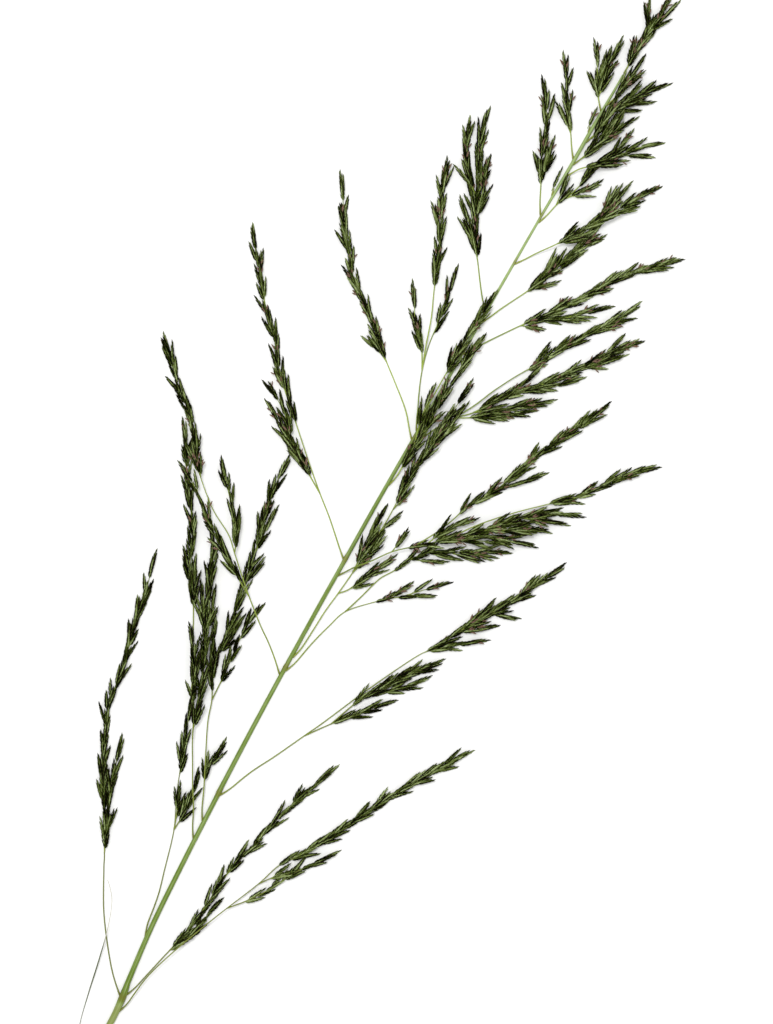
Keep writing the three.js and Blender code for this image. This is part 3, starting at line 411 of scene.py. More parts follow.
        Thread(on=(0, 2), bare=1, route=[(12, 221.3, 0.9), (16, 224.3, 0.8), (22.7, 229.4, 0.8)]),
        Thread(on=(0, 1), bare=3, route=[(8.5, 217.2, 1), (12, 219.3, 0.9), (15.3, 221.2, 0.8)]),
        Thread(on=(1, 0), bare=1, route=[(16.2, 222.6, 0.9), (19.2, 224.8, 0.8)]),
        Thread(on=(0, 4), bare=1, route=[(23.3, 234.8, 0.8), (27, 238.6, 0.8)]),
        Thread(on=(0, 6), bare=1, route=[(31.6, 246.3, 0.9), (34.5, 249.6, 0.8)]),
        Thread(on=(0, 7), bare=1, route=[(33.6, 253.8, 0.9)]),
        Thread(on=(0, 1), bare=24, route=[
            (7.3, 220.5, 1.6), (10, 226.5, 1.6), (13.5, 233, 1.4), (16.3, 237.5, 0.9), (18.8, 242, 0.8),
            (22, 247, 0.8), (26, 253.5, 0.8), (30, 259.3, 0.8), (32.6, 264, 0.8),
        ]),
        Thread(on=(7, 3), bare=0.5, route=[(17, 241.5, 1.2)]),
        Thread(on=(0, 3), bare=2, route=[(16, 231, 1.2), (17.3, 235.5, 1.4)]),
        Thread(on=(0, 2), bare=0.5, route=[(11, 222.8, 1), (13.3, 226.5, 1)]),
    ]),
    "spray_right_8": Branch(foot=Foot(232.2, Side.RIGHT), threads=[
        Thread(bare=17, route=[
            (1, 236.5, 0.8), (4, 240.8, 0.9), (8, 246.3, 0.8), (11, 249.8, 0.8), (15, 255.8, 0.8),
            (19, 260.8, 0.8), (23, 267, 0.8), (27, 272.4, 0.8), (31, 276.5, 0.8), (35.7, 281.2, 0.8),
        ]),
        Thread(on=(0, 3), bare=1, route=[(15, 252, 0.8), (19.5, 255.4, 0.8), (24.7, 260.3, 0.8)]),
        Thread(on=(0, 2), bare=0.2, route=[(10.2, 247, 0.8)]),
        Thread(on=(1, 0), bare=1, route=[(18.9, 253.8, 0.8)]),
    ]),
    "spray_right_9": Branch(foot=Foot(242.2, Side.RIGHT), threads=[
        Thread(bare=14, route=[
            (0.2, 246.3, 0.9), (2.2, 250.3, 0.8), (5.2, 256, 0.8), (7, 260.5, 0.8), (9.2, 266, 0.8),
            (11.4, 272, 0.8), (12.6, 278, 0.8), (13, 284, 0.8), (13.4, 290, 0.8),
        ]),
        Thread(on=(0, 2), bare=0.5, route=[(8.2, 258.8, 0.9)]),
        Thread(on=(0, 3), bare=0.5, route=[(6.9, 264.5, 1.2)]),
        Thread(on=(0, 3), bare=0.5, route=[(9.3, 264.2, 1), (11.2, 268, 0.9)]),
        Thread(on=(0, 5), bare=0.5, route=[(13.6, 274.8, 0.8), (14.7, 276.6, 0.8)]),
        Thread(on=(0, 7), bare=0.5, route=[(14.2, 287.5, 1.1), (14.9, 291.3, 1)]),
    ]),
    "spray_right_10": Branch(foot=Foot(261.2, Side.RIGHT), threads=[
        Thread(bare=12, route=[
            (2, 265.8, 1.7), (6, 271, 3.4), (8.7, 275.6, 3.6), (11.8, 280, 3.6), (15, 285, 3.1),
            (17.8, 290, 1.6), (21.3, 295.6, 0.8),
        ]),
        Thread(on=(0, 4), bare=1, route=[(18.4, 288.2, 2.4)]),
        Thread(on=(0, 1), bare=1, route=[(8.3, 274, 3.4)]),
        Thread(on=(0, 1), bare=0.5, route=[(8.8, 273.6, 3.5), (10.3, 275.8, 3.6)]),
    ]),
    "spray_right_11": Branch(foot=Foot(274.6, Side.RIGHT), threads=[
        Thread(bare=6, route=[(0.6, 280.6, 0.8), (2.2, 283.6, 0.8), (4.5, 286.3, 0.8), (6.6, 289.4, 0.8)]),
        Thread(on=(0, 1), bare=4, route=[(3.8, 288.5, 0.8), (4.7, 293.3, 0.7)]),
        Thread(on=(0, 0), bare=3, route=[(0.3, 283.4, 1.1), (0.25, 284.4, 0.8)]),
    ]),
    "spray_right_12": Branch(foot=Foot(289.6, Side.RIGHT), threads=[
        Thread(bare=5, route=[
            (1.2, 292, 2.5), (3.5, 294.2, 3.7), (7, 298, 2.8), (9.5, 301, 1.4), (14.3, 303.7, 0.8),
        ]),
        Thread(on=(0, 3), bare=1, route=[(12, 304.4, 1.2), (15.8, 308, 0.8)]),
        Thread(on=(0, 2), bare=1, route=[(8.2, 302, 2), (8.7, 305.6, 1.6)]),
        Thread(on=(0, 1), bare=1, route=[(7.6, 296.6, 3)]),
    ]),
    "spray_right_13": Branch(foot=Foot(293.4, Side.RIGHT), threads=[
        Thread(bare=2, route=[(1.3, 297.3, 1.4), (2.7, 300.6, 1.6), (4.2, 304, 1.6), (6.4, 308.6, 1.4)]),
        Thread(on=(0, 2), bare=0.5, route=[(4.6, 307.3, 1.8)]),
        Thread(on=(0, 1), bare=0.5, route=[(3.1, 305, 1.8), (3.5, 308.2, 1.8)]),
    ]),
    "spray_right_14": Branch(foot=Foot(300.6, Side.RIGHT), threads=[
        Thread(bare=1, route=[(0.8, 304, 1.2), (1.1, 307, 2), (1.2, 311, 2.3)]),
    ]),
    "spray_right_15": Branch(foot=Foot(308.6, Side.RIGHT), threads=[
        Thread(bare=1, route=[(2, 311.5, 0.8), (3.5, 314.3, 0.8), (6, 317.8, 0.8), (9.2, 322, 0.8)]),
        Thread(on=(0, 0), bare=0.5, route=[(4.4, 312.7, 0.8)]),
        Thread(on=(0, 1), bare=0.5, route=[(7, 316.4, 0.8)]),
        Thread(on=(0, 1), bare=0.5, route=[(4.1, 317, 1.2)]),
        Thread(on=(0, 2), bare=0.5, route=[(7.2, 320.6, 1.1)]),
        Thread(on=(0, 0), bare=0.5, route=[(4.4, 314, 1.4), (5.8, 315.6, 1.3)]),
    ]),
    "spray_right_16": Branch(foot=Foot(312.6, Side.RIGHT), threads=[
        Thread(bare=1, route=[(1, 316, 1.6), (1.4, 319.4, 1.8), (2.1, 324.5, 1.8)]),
        Thread(on=(0, 0), bare=0.5, route=[(2, 318.6, 2.2), (2.8, 321, 2.1)]),
    ]),
    "spray_middle": Branch(foot=Foot(190, Side.RIGHT), threads=[
        Thread(bare=5, route=[
            (-2.3, 196, 2), (-2, 202, 2.8), (-1.7, 209, 2.9), (-1.5, 216, 2.8), (-1.3, 224, 2.7),
            (-1.1, 231, 2.5), (-0.2, 235.5, 2.2),
        ]),
        Thread(on=(0, 1), bare=5, route=[(-3.3, 206.5, 3), (-4.3, 211, 2.9), (-5, 216, 2.8)]),
        Thread(on=(1, 1), bare=13, route=[
            (-4.1, 217.4, 2.8), (-4, 224, 2.7), (-3.8, 231, 2.7), (-3.6, 238, 2.6), (-3.3, 243, 2.4),
            (-3.1, 247, 2.2),
        ]),
    ]),
    "spray_top": Branch(foot=Foot(322.6, Side.ABOVE), threads=[
        Thread(bare=1, route=[
            (-0.3, 325.5, 0.9), (-0.1, 331, 0.9), (0, 335, 0.9), (0.5, 340, 0.9), (0.7, 343.7, 0.9),
        ]),
        Thread(on=(0, 0), bare=0.2, route=[(-1.2, 328.4, 1.2)]),
        Thread(on=(0, 2), bare=0.5, route=[(-1.1, 337.5, 1.2), (-2.8, 341, 0.9)]),
        Thread(on=(0, 2), bare=0.5, route=[(1.4, 338.6, 1.2), (2.6, 343.6, 0.9)]),
    ]),
}

# The rule of the solids that place the spikelets: one every pitch, with evenly spread leans and rises.
# Lengths are in millimetres and angles in degrees.
SPIKELET_LENGTH = 7.3
LENGTH_SPREAD = 0.12
PITCH = 3.8
FIRST_PLACE = 0.35
PLACE_SPREAD = 0.25
LEAN = 13.0
LEAN_SPREAD = 8.0
LAST_LEAN = 3.0
RISE = 4.0
RISE_SPREAD = 8.0
END_OVERLAP = 2.0

# Where the running counts of the branches start, and those of the threads of one branch, as in the solids
DRAWS_PER_BRANCH = 100
DRAWS_PER_THREAD = 20

# The threads of the solids and how they start, the lowest that a spikelet lies, and the foot of the leaf
# along the stem, all in millimetres
THREAD_THICKNESS = 0.62
FORK_LIFT = 0.07
SEAT_GAP = 0.3
LOWEST = 0.05
LEAF_FOOT = 2.0

# How many scales a spikelet has, for its three forms
SPIKELET_SCALES = (6, 7, 8)

# A spikelet that the scene adds is this much shorter than its neighbour in the solids
FILL_LENGTH = 0.95

# How far apart the grain of two copies of a shape lies, in millimetres, so that no two are alike
GRAIN_STEP = 3.7

# How densely each branch is set with spikelets between those of the solids; any other branch counts as 1
FULLNESS = {
    "spray_left_1": 1.2, "spray_left_3": 1.2, "spray_left_6": 0.9, "spray_left_7": 1.3, "spray_left_8": 1.2,
    "spray_left_9": 1.2, "spray_left_11": 0.8, "spray_left_12": 1.3, "spikelet_left_13": 0.0,
    "spikelet_left_14": 0.0, "spray_right_1": 0.8, "spray_right_2": 1.3, "spray_right_3": 1.3,
    "spray_right_4": 0.7, "spray_right_5": 1.5, "spray_right_6": 1.1, "spray_right_7": 1.2,
    "spray_right_8": 1.3, "spray_right_9": 1.3, "spray_right_10": 0.9, "spray_right_11": 0.8,
    "spray_right_12": 1.3, "spray_right_13": 1.3, "spray_right_14": 1.2, "spray_right_15": 1.2,
    "spray_right_16": 1.3, "spray_top": 1.3,
}

# The threads of a branch that carry few more spikelets than the solids, and the share of them that is left
SPARSE_SHARE = 0.4
SPARSE = {
    "spray_left_4": frozenset({1}), "spray_left_8": frozenset({0}), "spray_right_2": frozenset({1, 2}),
    "spray_right_4": frozenset({0}), "spray_right_5": frozenset({4, 5}), "spray_top": frozenset({2}),
}

# The branches whose spikelets are paler than the rest, or darker where the number is negative
PALER = {
    "spray_left_3": -0.03, "spray_left_4": -0.03, "spray_left_6": -0.05, "spray_left_7": 0.04,
    "spray_left_8": -0.1, "spray_left_9": -0.1, "spray_right_1": 0.14, "spray_right_2": 0.2,
    "spray_right_3": 0.04, "spray_right_7": 0.05, "spray_right_8": 0.1, "spray_right_9": 0.1,
    "spray_right_10": 0.1,
}


class Spread(Enum):
    """The irrational numbers that spread a running count evenly, one for each thing that is drawn alone."""

    GOLDEN = 0.6180339887
    PLASTIC = 0.7548776662
    SILVER = 0.4142135624
    CHANCE = 0.7071067812
    ROLL = 0.8191725134
    TONE = 0.5497004779
    ANTHER = 0.3247179572


def fraction(count: np.ndarray | float, spread: Spread) -> np.ndarray | float:
    """Turn a running count into numbers from 0 to 1: the fractional part of count times the irrational."""
    return (count * spread.value) % 1


def wobble(count: np.ndarray | float, spread: Spread) -> np.ndarray | float:
    """Turn a running count into an even spread from -1 to 1: twice its fraction, less 1.

    Args:
        count: one count or an array of them.
        spread: the irrational number to multiply by.

    Returns:
        Numbers from -1 to 1, in the shape of count.
    """
    return 2 * fraction(count, spread) - 1


def unit(vectors: np.ndarray) -> np.ndarray:
    """Return the vectors at length 1: each is divided by its length."""
    return vectors / np.linalg.norm(vectors, axis=-1, keepdims=True)


def turned_axes(ahead: np.ndarray, turn: np.ndarray) -> tuple[np.ndarray, np.ndarray]:
    """Return two directions square to each direction ahead and to each other, after a turn about it.

    Before the turn the first is level and the second points upwards.
    """
    level = unit(np.cross(ahead, UP))
    upright = np.cross(level, ahead)
    cos, sin = np.cos(turn)[:, None], np.sin(turn)[:, None]
    return level * cos + upright * sin, upright * cos - level * sin


def share_between(values: np.ndarray | float, low: float, span: float) -> np.ndarray | float:
    """Return how far each value is from low to low + span, from 0 to 1 and held at both ends."""
    return np.clip((values - low) / span, 0, 1)


def bell(distance: np.ndarray, reach: float) -> np.ndarray:
    """Return a bell curve: e to the power of minus the square of distance over reach."""
    return np.exp(-((distance / reach) ** 2))


def by_turns(count: np.ndarray) -> np.ndarray:
    """Return the sign of each running count: 1 for even ones and -1 for odd ones."""
    return np.where(count % 2 == 0, 1.0, -1.0)


@dataclass
class Line:
    """A smooth line through points, with the distance along it.

    glance is how far before and after a place its direction is read.
    """

    knots: np.ndarray
    per_span: int = 24
    glance: float = 0.2
    points: np.ndarray = field(init=False)
    reach: np.ndarray = field(init=False)

    def __post_init__(self) -> None:
        """Work out the line as a cubic curve through all the points.

        At share t of the span from p to q the point is p + a t + (3 (q - p) - 2 a - b) t^2 +
        (2 (p - q) + a + b) t^3. a and b are half the way between the neighbours of p and of q, and past
        each end the neighbour is the mirror image of the one before.
        """
        knots = np.asarray(self.knots, float)
        padded = np.vstack([2 * knots[0] - knots[1], knots, 2 * knots[-1] - knots[-2]])
        p, q = padded[1:-2], padded[2:-1]
        a, b = (q - padded[:-3]) / 2, (padded[3:] - p) / 2
        t = np.linspace(0, 1, self.per_span, endpoint=False)[:, None, None]
        curve = p + a * t + (3 * (q - p) - 2 * a - b) * t**2 + (2 * (p - q) + a + b) * t**3
        self.points = np.vstack([curve.transpose(1, 0, 2).reshape(-1, 3), knots[-1]])
        self.reach = run_along(self.points)

    @property
    def length(self) -> float:
        """The length of the whole line."""
        return float(self.reach[-1])

    def at(self, distance: np.ndarray) -> np.ndarray:
        """Return the points at these distances along the line."""
        return np.stack([np.interp(distance, self.reach, self.points[:, i]) for i in range(3)], axis=-1)

    def along(self, distance: np.ndarray) -> np.ndarray:
        """Return the line's direction at these distances, from the points a little before and after."""
        return unit(self.at(distance + self.glance) - self.at(distance - self.glance))


def run_along(points: np.ndarray) -> np.ndarray:
    """Return the distance from the first point to each, summed along the steps between them."""
    return np.concatenate([[0.0], np.cumsum(np.linalg.norm(np.diff(points, axis=0), axis=1))])


@dataclass
class Patch:
    """Part of a mesh, with what its finish reads at each vertex.

    look holds the painted light, the tone and the ripeness from 0 to 1. The painted light makes the upper
    side of a limb lighter, and on a spikelet its middle lighter and its edges darker. grain holds a place
    that runs with the surface, in millimetres, with its third number along the piece.
    """

    vertices: np.ndarray
    faces: list[np.ndarray]
    look: np.ndarray
    grain: np.ndarray
    skin: int = 0
    smooth: bool = True


def mesh_piece(name: str, patches: list[Patch], materials: list[bpy.types.Material]) -> bpy.types.Object:
    """Make one object of the patches, at the origin, with its place in its mesh.

    Args:
        name: the name of the piece.
        patches: the parts of its mesh, in millimetres.
        materials: its finishes, in the order of the patches' skin numbers.

    Returns:
        The new object, linked to the scene and riding on the root body.
    """
    faces, skins, smooth, start = [], [], [], 0
    for patch in patches:
        for group in patch.faces:
            faces.extend((group + start).tolist())
            skins.append(np.full(len(group), patch.skin))
            smooth.append(np.full(len(group), patch.smooth))
        start += len(patch.vertices)
    vertices = np.concatenate([patch.vertices for patch in patches])
    mesh = bpy.data.meshes.new(name)
    mesh.from_pydata((vertices * MM).tolist(), [], faces)
    mesh.polygons.foreach_set("material_index", np.concatenate(skins).astype(np.int32))
    mesh.polygons.foreach_set("use_smooth", np.concatenate(smooth))
    for key in ("look", "grain"):
        values = np.concatenate([getattr(patch, key) for patch in patches])
        mesh.attributes.new(key, "FLOAT_VECTOR", "POINT").data.foreach_set("vector", values.ravel())
    for material in materials:
        mesh.materials.append(material)
    mesh.update()
    piece = bpy.data.objects.new(name, mesh)
    bpy.context.scene.collection.objects.link(piece)
    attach(piece, "root")
    LOG.info("%s: %d faces", name, len(faces))
    return piece


def ring_faces(rings: int, sides: int) -> list[np.ndarray]:
    """Return the faces of a tube of rings, with a fan to a middle point at each end.

    The vertices are the rings one after the other, then the middle of the first and of the last ring.
    Each four-sided face joins two neighbours of a ring to the same two of the next ring.
    """
    side = np.arange(sides)
    following = (side + 1) % sides
    ring_starts = np.arange(rings - 1)[:, None] * sides
    first, second = ring_starts + side, ring_starts + following
    quads = np.stack([first, second, second + sides, first + sides], axis=-1).reshape(-1, 4)
    last = (rings - 1) * sides
    start = np.stack([following, side, np.full(sides, rings * sides)], axis=-1)
    end = np.stack([last + side, last + following, np.full(sides, rings * sides + 1)], axis=-1)
    return [quads, np.concatenate([start, end])]


@dataclass
class Tube:
    """A limb swept along a line: an ellipse square to the line, carried along it and turned on the way."""

    centres: np.ndarray
    wide: np.ndarray
    high: np.ndarray
    sides: int
    twist: np.ndarray | float = 0.0

    def angles(self) -> np.ndarray:
        """Return the angles round a ring, from its lowest point."""
        return -math.pi / 2 + 2 * math.pi * np.arange(self.sides) / self.sides

    def vertices(self) -> np.ndarray:
        """Return the rings, then the middle of the first and of the last ring.

        A point of a ring is the centre plus across times wide times the cosine plus upwards times high
        times the sine of its angle. None lies under the surface or above the solids.
        """
        ahead = unit(np.gradient(self.centres, axis=0))
        across, upwards = turned_axes(ahead, np.broadcast_to(self.twist, len(self.centres)))
        angle = self.angles()
        level = np.cos(angle)[None, :, None] * (self.wide[:, None] * across)[:, None]
        upright = np.sin(angle)[None, :, None] * (self.high[:, None] * upwards)[:, None]
        grid = self.centres[:, None] + level + upright
        points = np.concatenate([grid.reshape(-1, 3), self.centres[[0, -1]]])
        points[:, 2] = np.clip(points[:, 2], 0, CEILING)
        return points

    def grain(self, seed: float) -> np.ndarray:
        """Return where the noise is read: a circle round the limb and the run along it, moved by seed."""
        run = run_along(self.centres)
        angle = self.angles()
        circle = np.tile(np.stack([np.cos(angle), np.sin(angle)], axis=-1), (len(run), 1))
        rings = np.concatenate([circle, np.repeat(run, self.sides)[:, None]], axis=1)
        return np.concatenate([rings, [[0, 0, run[0]], [0, 0, run[-1]]]]) + seed

    def patch(
        self, tone: float | np.ndarray, ripe: np.ndarray, seed: float = 0.0, skin: int = 0
    ) -> Patch:
        """Work out the limb's mesh and what its finish reads.

        Args:
            tone: the shade of the limb or of each ring, from 0 to 1.
            ripe: how brown each ring is, from 0 to 1.
            seed: moves the grain, so that no two limbs are alike.
            skin: the number of its finish in its piece.

        Returns:
            The patch, closed at both ends.
        """
        rings = len(self.centres)
        tone = np.broadcast_to(tone, rings)
        shade, brown = (np.concatenate([np.repeat(v, self.sides), v[[0, -1]]]) for v in (tone, ripe))
        # Painted light: the upper half of each ring is marked lighter, most at the top, and the lower half
        # not at all.
        painted_light = np.concatenate([np.tile(np.clip(np.sin(self.angles()), 0, 1), rings), [0, 0]])
        look = np.stack([painted_light, shade, brown], axis=-1)
        return Patch(self.vertices(), ring_faces(rings, self.sides), look, self.grain(seed), skin)


class Look(Enum):
    """What the finishes read at each vertex, as the axes of the look attribute."""

    # The painted light: the upper side of a limb lighter, and the middle of a spikelet lighter than its
    # edges.
    PAINTED_LIGHT = "X"
    TONE = "Y"
    RIPE = "Z"


@dataclass
class Wiring:
    """The nodes of one material, with short ways to add the ones that the finishes share.

    mix_sockets are the numbers of a mix node's two colour inputs and of its colour output.
    """

    name: str
    mix_sockets: tuple[int, int, int] = (6, 7, 2)
    material: bpy.types.Material = field(init=False)

    def __post_init__(self) -> None:
        """Start from a plain principled shader."""
        self.material = bpy.data.materials.new(self.name)
        self.material.use_nodes = True

    @property
    def shader(self) -> bpy.types.Node:
        """The material's principled shader."""
        return self.material.node_tree.nodes["Principled BSDF"]

    def node(self, kind: str, **settings: object) -> bpy.types.Node:
        """Add a node of this kind, with its settings."""
        made = self.material.node_tree.nodes.new(kind)
        for key, value in settings.items():
            setattr(made, key, value)
        return made

    def join(self, source: object, target: bpy.types.NodeSocket) -> None:
        """Link a socket to the target, or set the target to a plain value."""
        if isinstance(source, bpy.types.NodeSocket):
            self.material.node_tree.links.new(source, target)
        else:
            target.default_value = source

    def look(self, number: Look) -> bpy.types.NodeSocket:
        """Return one number of the look at each vertex."""
        split = self.node("ShaderNodeSeparateXYZ")
        look = self.node("ShaderNodeAttribute", attribute_name="look")
        self.join(look.outputs["Vector"], split.inputs[0])
        return split.outputs[number.value]

    def streaks(self, grain: Grain, detail: float = 3.0) -> bpy.types.NodeSocket:
        """Return noise that follows the piece.

        Args:
            grain: how fine it is across the piece and along it, in spots per millimetre.
            detail: how many finer layers it has.

        Returns:
            A socket with numbers round one half.
        """
        around, along = grain
        mapping = self.node("ShaderNodeMapping")
        mapping.inputs["Scale"].default_value = (around, around, along)
        noise = self.node("ShaderNodeTexNoise")
        noise.inputs["Scale"].default_value = 1.0
        noise.inputs["Detail"].default_value = detail
        place = self.node("ShaderNodeAttribute", attribute_name="grain").outputs["Vector"]
        self.join(place, mapping.inputs["Vector"])
        self.join(mapping.outputs["Vector"], noise.inputs["Vector"])
        return noise.outputs["Fac"]

    def reckon(self, operation: str, first: object, second: object) -> bpy.types.NodeSocket:
        """Return the result of a maths node on two numbers or sockets, such as MULTIPLY or ADD."""
        node = self.node("ShaderNodeMath", operation=operation)
        self.join(first, node.inputs[0])
        self.join(second, node.inputs[1])
        return node.outputs[0]

    def weighed(
        self, weights: tuple[float, ...], parts: tuple[object, ...], start: float
    ) -> bpy.types.NodeSocket:
        """Return start plus each part times its weight."""
        total = start
        for weight, part in zip(weights, parts):
            total = self.reckon("ADD", self.reckon("MULTIPLY", part, weight), total)
        return total

    def ramp(
        self, factor: object, stops: tuple[float, ...], colours: tuple[Colour, ...]
    ) -> bpy.types.NodeSocket:
        """Return the colour at the factor on a ramp that has these colours at these stops."""
        node = self.node("ShaderNodeValToRGB")
        elements = node.color_ramp.elements
        while len(elements) < len(stops):
            elements.new(0.5)
        for element, stop, colour in zip(elements, stops, colours):
            element.position = stop
            element.color = (*colour, 1.0)
        self.join(factor, node.inputs["Fac"])
        return node.outputs["Color"]

    def mix(self, factor: object, first: object, second: object) -> bpy.types.NodeSocket:
        """Return a mix of two sockets or colours: the first at a factor of 0, the second at 1."""
        node = self.node("ShaderNodeMix", data_type="RGBA")
        self.join(factor, node.inputs[0])
        for part, number in zip((first, second), self.mix_sockets):
            source = part if isinstance(part, bpy.types.NodeSocket) else (*part, 1.0)
            self.join(source, node.inputs[number])
        return node.outputs[self.mix_sockets[-1]]

    def finish(
        self, colour: object, roughness: float, gloss: float, height: object, depth: float
    ) -> bpy.types.Material:
        """Wire the shader.

        Args:
            colour: the base colour, a socket.
            roughness: how matt it is, from 0 to 1.
            gloss: how strongly it mirrors light, from 0 to 1.
            height: the socket that the bump reads.
            depth: the depth of the bump, in millimetres.

        Returns:
            The material.
        """
        bump = self.node("ShaderNodeBump")
        bump.inputs["Distance"].default_value = depth * MM
        bump.inputs["Strength"].default_value = 1.0
        self.join(height, bump.inputs["Height"])
        self.join(bump.outputs["Normal"], self.shader.inputs["Normal"])
        self.join(colour, self.shader.inputs["Base Color"])
        self.join(roughness, self.shader.inputs["Roughness"])
        self.shader.inputs["Specular IOR Level"].default_value = gloss
        return self.material


@dataclass(frozen=True)
class StemFinish:
    """Living stem: yellow-green with fine ribs, paler higher up, its upper side painted lighter, and
    brown-olive at its swollen joints.
    """

    shade: Colour = (0.055, 0.100, 0.006)
    body: Colour = (0.108, 0.178, 0.008)
    # light is reached where the painted light on the upper side adds to the ribs, so it is partly painted
    # highlight.
    light: Colour = (0.310, 0.420, 0.150)
    joint: Colour = (0.150, 0.120, 0.008)
    rib_grain: Grain = (4.5, 0.05)
    blotch_grain: Grain = (0.8, 0.25)
    joint_blotch: float = 0.4
    weights: tuple[float, float, float, float] = (0.75, 0.35, 0.15, 0.4)
    start: float = -0.26
    stops: tuple[float, ...] = (0.18, 0.5, 0.85)
    roughness: float = 0.4
    gloss: float = 0.3
    bump: float = 0.05

    def material(self) -> bpy.types.Material:
        """Build the finish.

        The weighed sum of ribs, blotches, the painted light on its upper side and tone picks the green, so
        the pale light colour is partly painted highlight. Ripeness, uneven by the blotches, mixes in the
        brown.
        """
        wiring = Wiring("stem")
        ribs = wiring.streaks(self.rib_grain)
        blotch = wiring.streaks(self.blotch_grain)
        parts = (ribs, blotch, wiring.look(Look.PAINTED_LIGHT), wiring.look(Look.TONE))
        value = wiring.weighed(self.weights, parts, self.start)
        green = wiring.ramp(value, self.stops, (self.shade, self.body, self.light))
        parts = (wiring.look(Look.RIPE), blotch)
        ripe = wiring.weighed((1.0, self.joint_blotch), parts, -self.joint_blotch / 2)
        colour = wiring.mix(ripe, green, self.joint)
        return wiring.finish(colour, self.roughness, self.gloss, ribs, self.bump)


@dataclass(frozen=True)
class ThreadFinish:
    """Thin branches: yellow-green with the upper side painted lighter, browner where they leave the stem.
    """

    shade: Colour = (0.050, 0.080, 0.005)
    body: Colour = (0.150, 0.215, 0.015)
    # light is reached where the painted light on the upper side adds to the ribs, so it is partly painted
    # highlight.
    light: Colour = (0.360, 0.460, 0.070)
    axil: Colour = (0.190, 0.165, 0.035)
    grain: Grain = (3.0, 0.12)
    weights: tuple[float, float, float] = (0.8, 0.25, 0.6)
    start: float = -0.3
    stops: tuple[float, ...] = (0.2, 0.5, 0.85)
    roughness: float = 0.5
    gloss: float = 0.3
    bump: float = 0.03

    def material(self) -> bpy.types.Material:
        """Build the finish: ribs, the painted light on the upper side and tone pick the green, and ripeness
        mixes in the brown.
        """
        wiring = Wiring("thread")
        ribs = wiring.streaks(self.grain)
        parts = (ribs, wiring.look(Look.PAINTED_LIGHT), wiring.look(Look.TONE))
        value = wiring.weighed(self.weights, parts, self.start)
        green = wiring.ramp(value, self.stops, (self.shade, self.body, self.light))
        colour = wiring.mix(wiring.look(Look.RIPE), green, self.axil)
        return wiring.finish(colour, self.roughness, self.gloss, ribs, self.bump)


@dataclass(frozen=True)
class ScaleFinish:
    """The scales of a spikelet: very dark olive with paler green nerves, near-black painted shade at their
    edges and between them, and on the lightest a pale grey-green that is partly their paler margins and
    partly painted sheen.
    """

    # dark is near-black painted shade, for the edges of the spikelets and the gaps between them.
    dark: Colour = (0.0008, 0.0015, 0.0)
    body: Colour = (0.018, 0.028, 0.001)
    nerve: Colour = (0.104, 0.138, 0.030)
    # pale is partly the paler margins of the scales and partly painted sheen on their lightest parts.
    pale: Colour = (0.330, 0.400, 0.180)
    ripe: Colour = (0.110, 0.070, 0.040)
    grain: Grain = (2.2, 0.22)
    weights: tuple[float, float, float] = (1.9, 0.8, 0.55)
    start: float = -1.25
    stops: tuple[float, ...] = (0.26, 0.42, 0.62, 0.98)
    roughness: float = 0.6
    gloss: float = 0.01
    bump: float = 0.05

    def material(self) -> bpy.types.Material:
        """Build the finish: nerves, the painted light and shade of each spikelet and tone pick the colour,
        from the near-black painted shade up to the pale, partly painted sheen, and ripeness mixes in the
        brown.
        """
        wiring = Wiring("scale")
        nerves = wiring.streaks(self.grain)
        parts = (nerves, wiring.look(Look.PAINTED_LIGHT), wiring.look(Look.TONE))
        value = wiring.weighed(self.weights, parts, self.start)
        ripeness = wiring.look(Look.RIPE)
        green = wiring.ramp(value, self.stops, (self.dark, self.body, self.nerve, self.pale))
        colour = wiring.mix(ripeness, green, self.ripe)
        return wiring.finish(colour, self.roughness, self.gloss, nerves, self.bump)


@dataclass(frozen=True)
class AntherFinish:
    """Anthers: dull purple-brown."""

    dark: Colour = (0.075, 0.040, 0.025)
    light: Colour = (0.260, 0.165, 0.115)
    grain: Grain = (6.0, 6.0)
    stops: tuple[float, ...] = (0.35, 0.7)
    roughness: float = 0.7
    gloss: float = 0.1
    bump: float = 0.02

    def material(self) -> bpy.types.Material:
        """Build the finish: fine specks between the two colours."""
        wiring = Wiring("anther")
        specks = wiring.streaks(self.grain)
        colour = wiring.ramp(specks, self.stops, (self.dark, self.light))
        return wiring.finish(colour, self.roughness, self.gloss, specks, self.bump)


@dataclass(frozen=True)
class LeafFinish:
    """The dry end of a leaf: grey-green, bleached to straw in its upper part."""

    shade: Colour = (0.050, 0.060, 0.030)
    light: Colour = (0.150, 0.175, 0.090)
    straw: Colour = (0.560, 0.540, 0.460)
    grain: Grain = (5.0, 0.1)
    stops: tuple[float, ...] = (0.3, 0.7)
    roughness: float = 0.55
    gloss: float = 0.2
    bump: float = 0.03

    def material(self) -> bpy.types.Material:
        """Build the finish: ribs pick the green, and ripeness bleaches it."""
        wiring = Wiring("leaf")
        ribs = wiring.streaks(self.grain)
        green = wiring.ramp(ribs, self.stops, (self.shade, self.light))
        colour = wiring.mix(wiring.look(Look.RIPE), green, self.straw)
        return wiring.finish(colour, self.roughness, self.gloss, ribs, self.bump)


@dataclass(frozen=True)
class FloorFinish:
    """Plain white board."""

    colour: Colour = (0.90, 0.90, 0.89)
    roughness: float = 0.9

    def material(self) -> bpy.types.Material:
        """Build the finish."""
        wiring = Wiring("floor")
        wiring.join((*self.colour, 1.0), wiring.shader.inputs["Base Color"])
        wiring.join(self.roughness, wiring.shader.inputs["Roughness"])
        wiring.join(0.0, wiring.shader.inputs["Specular IOR Level"])
        return wiring.material


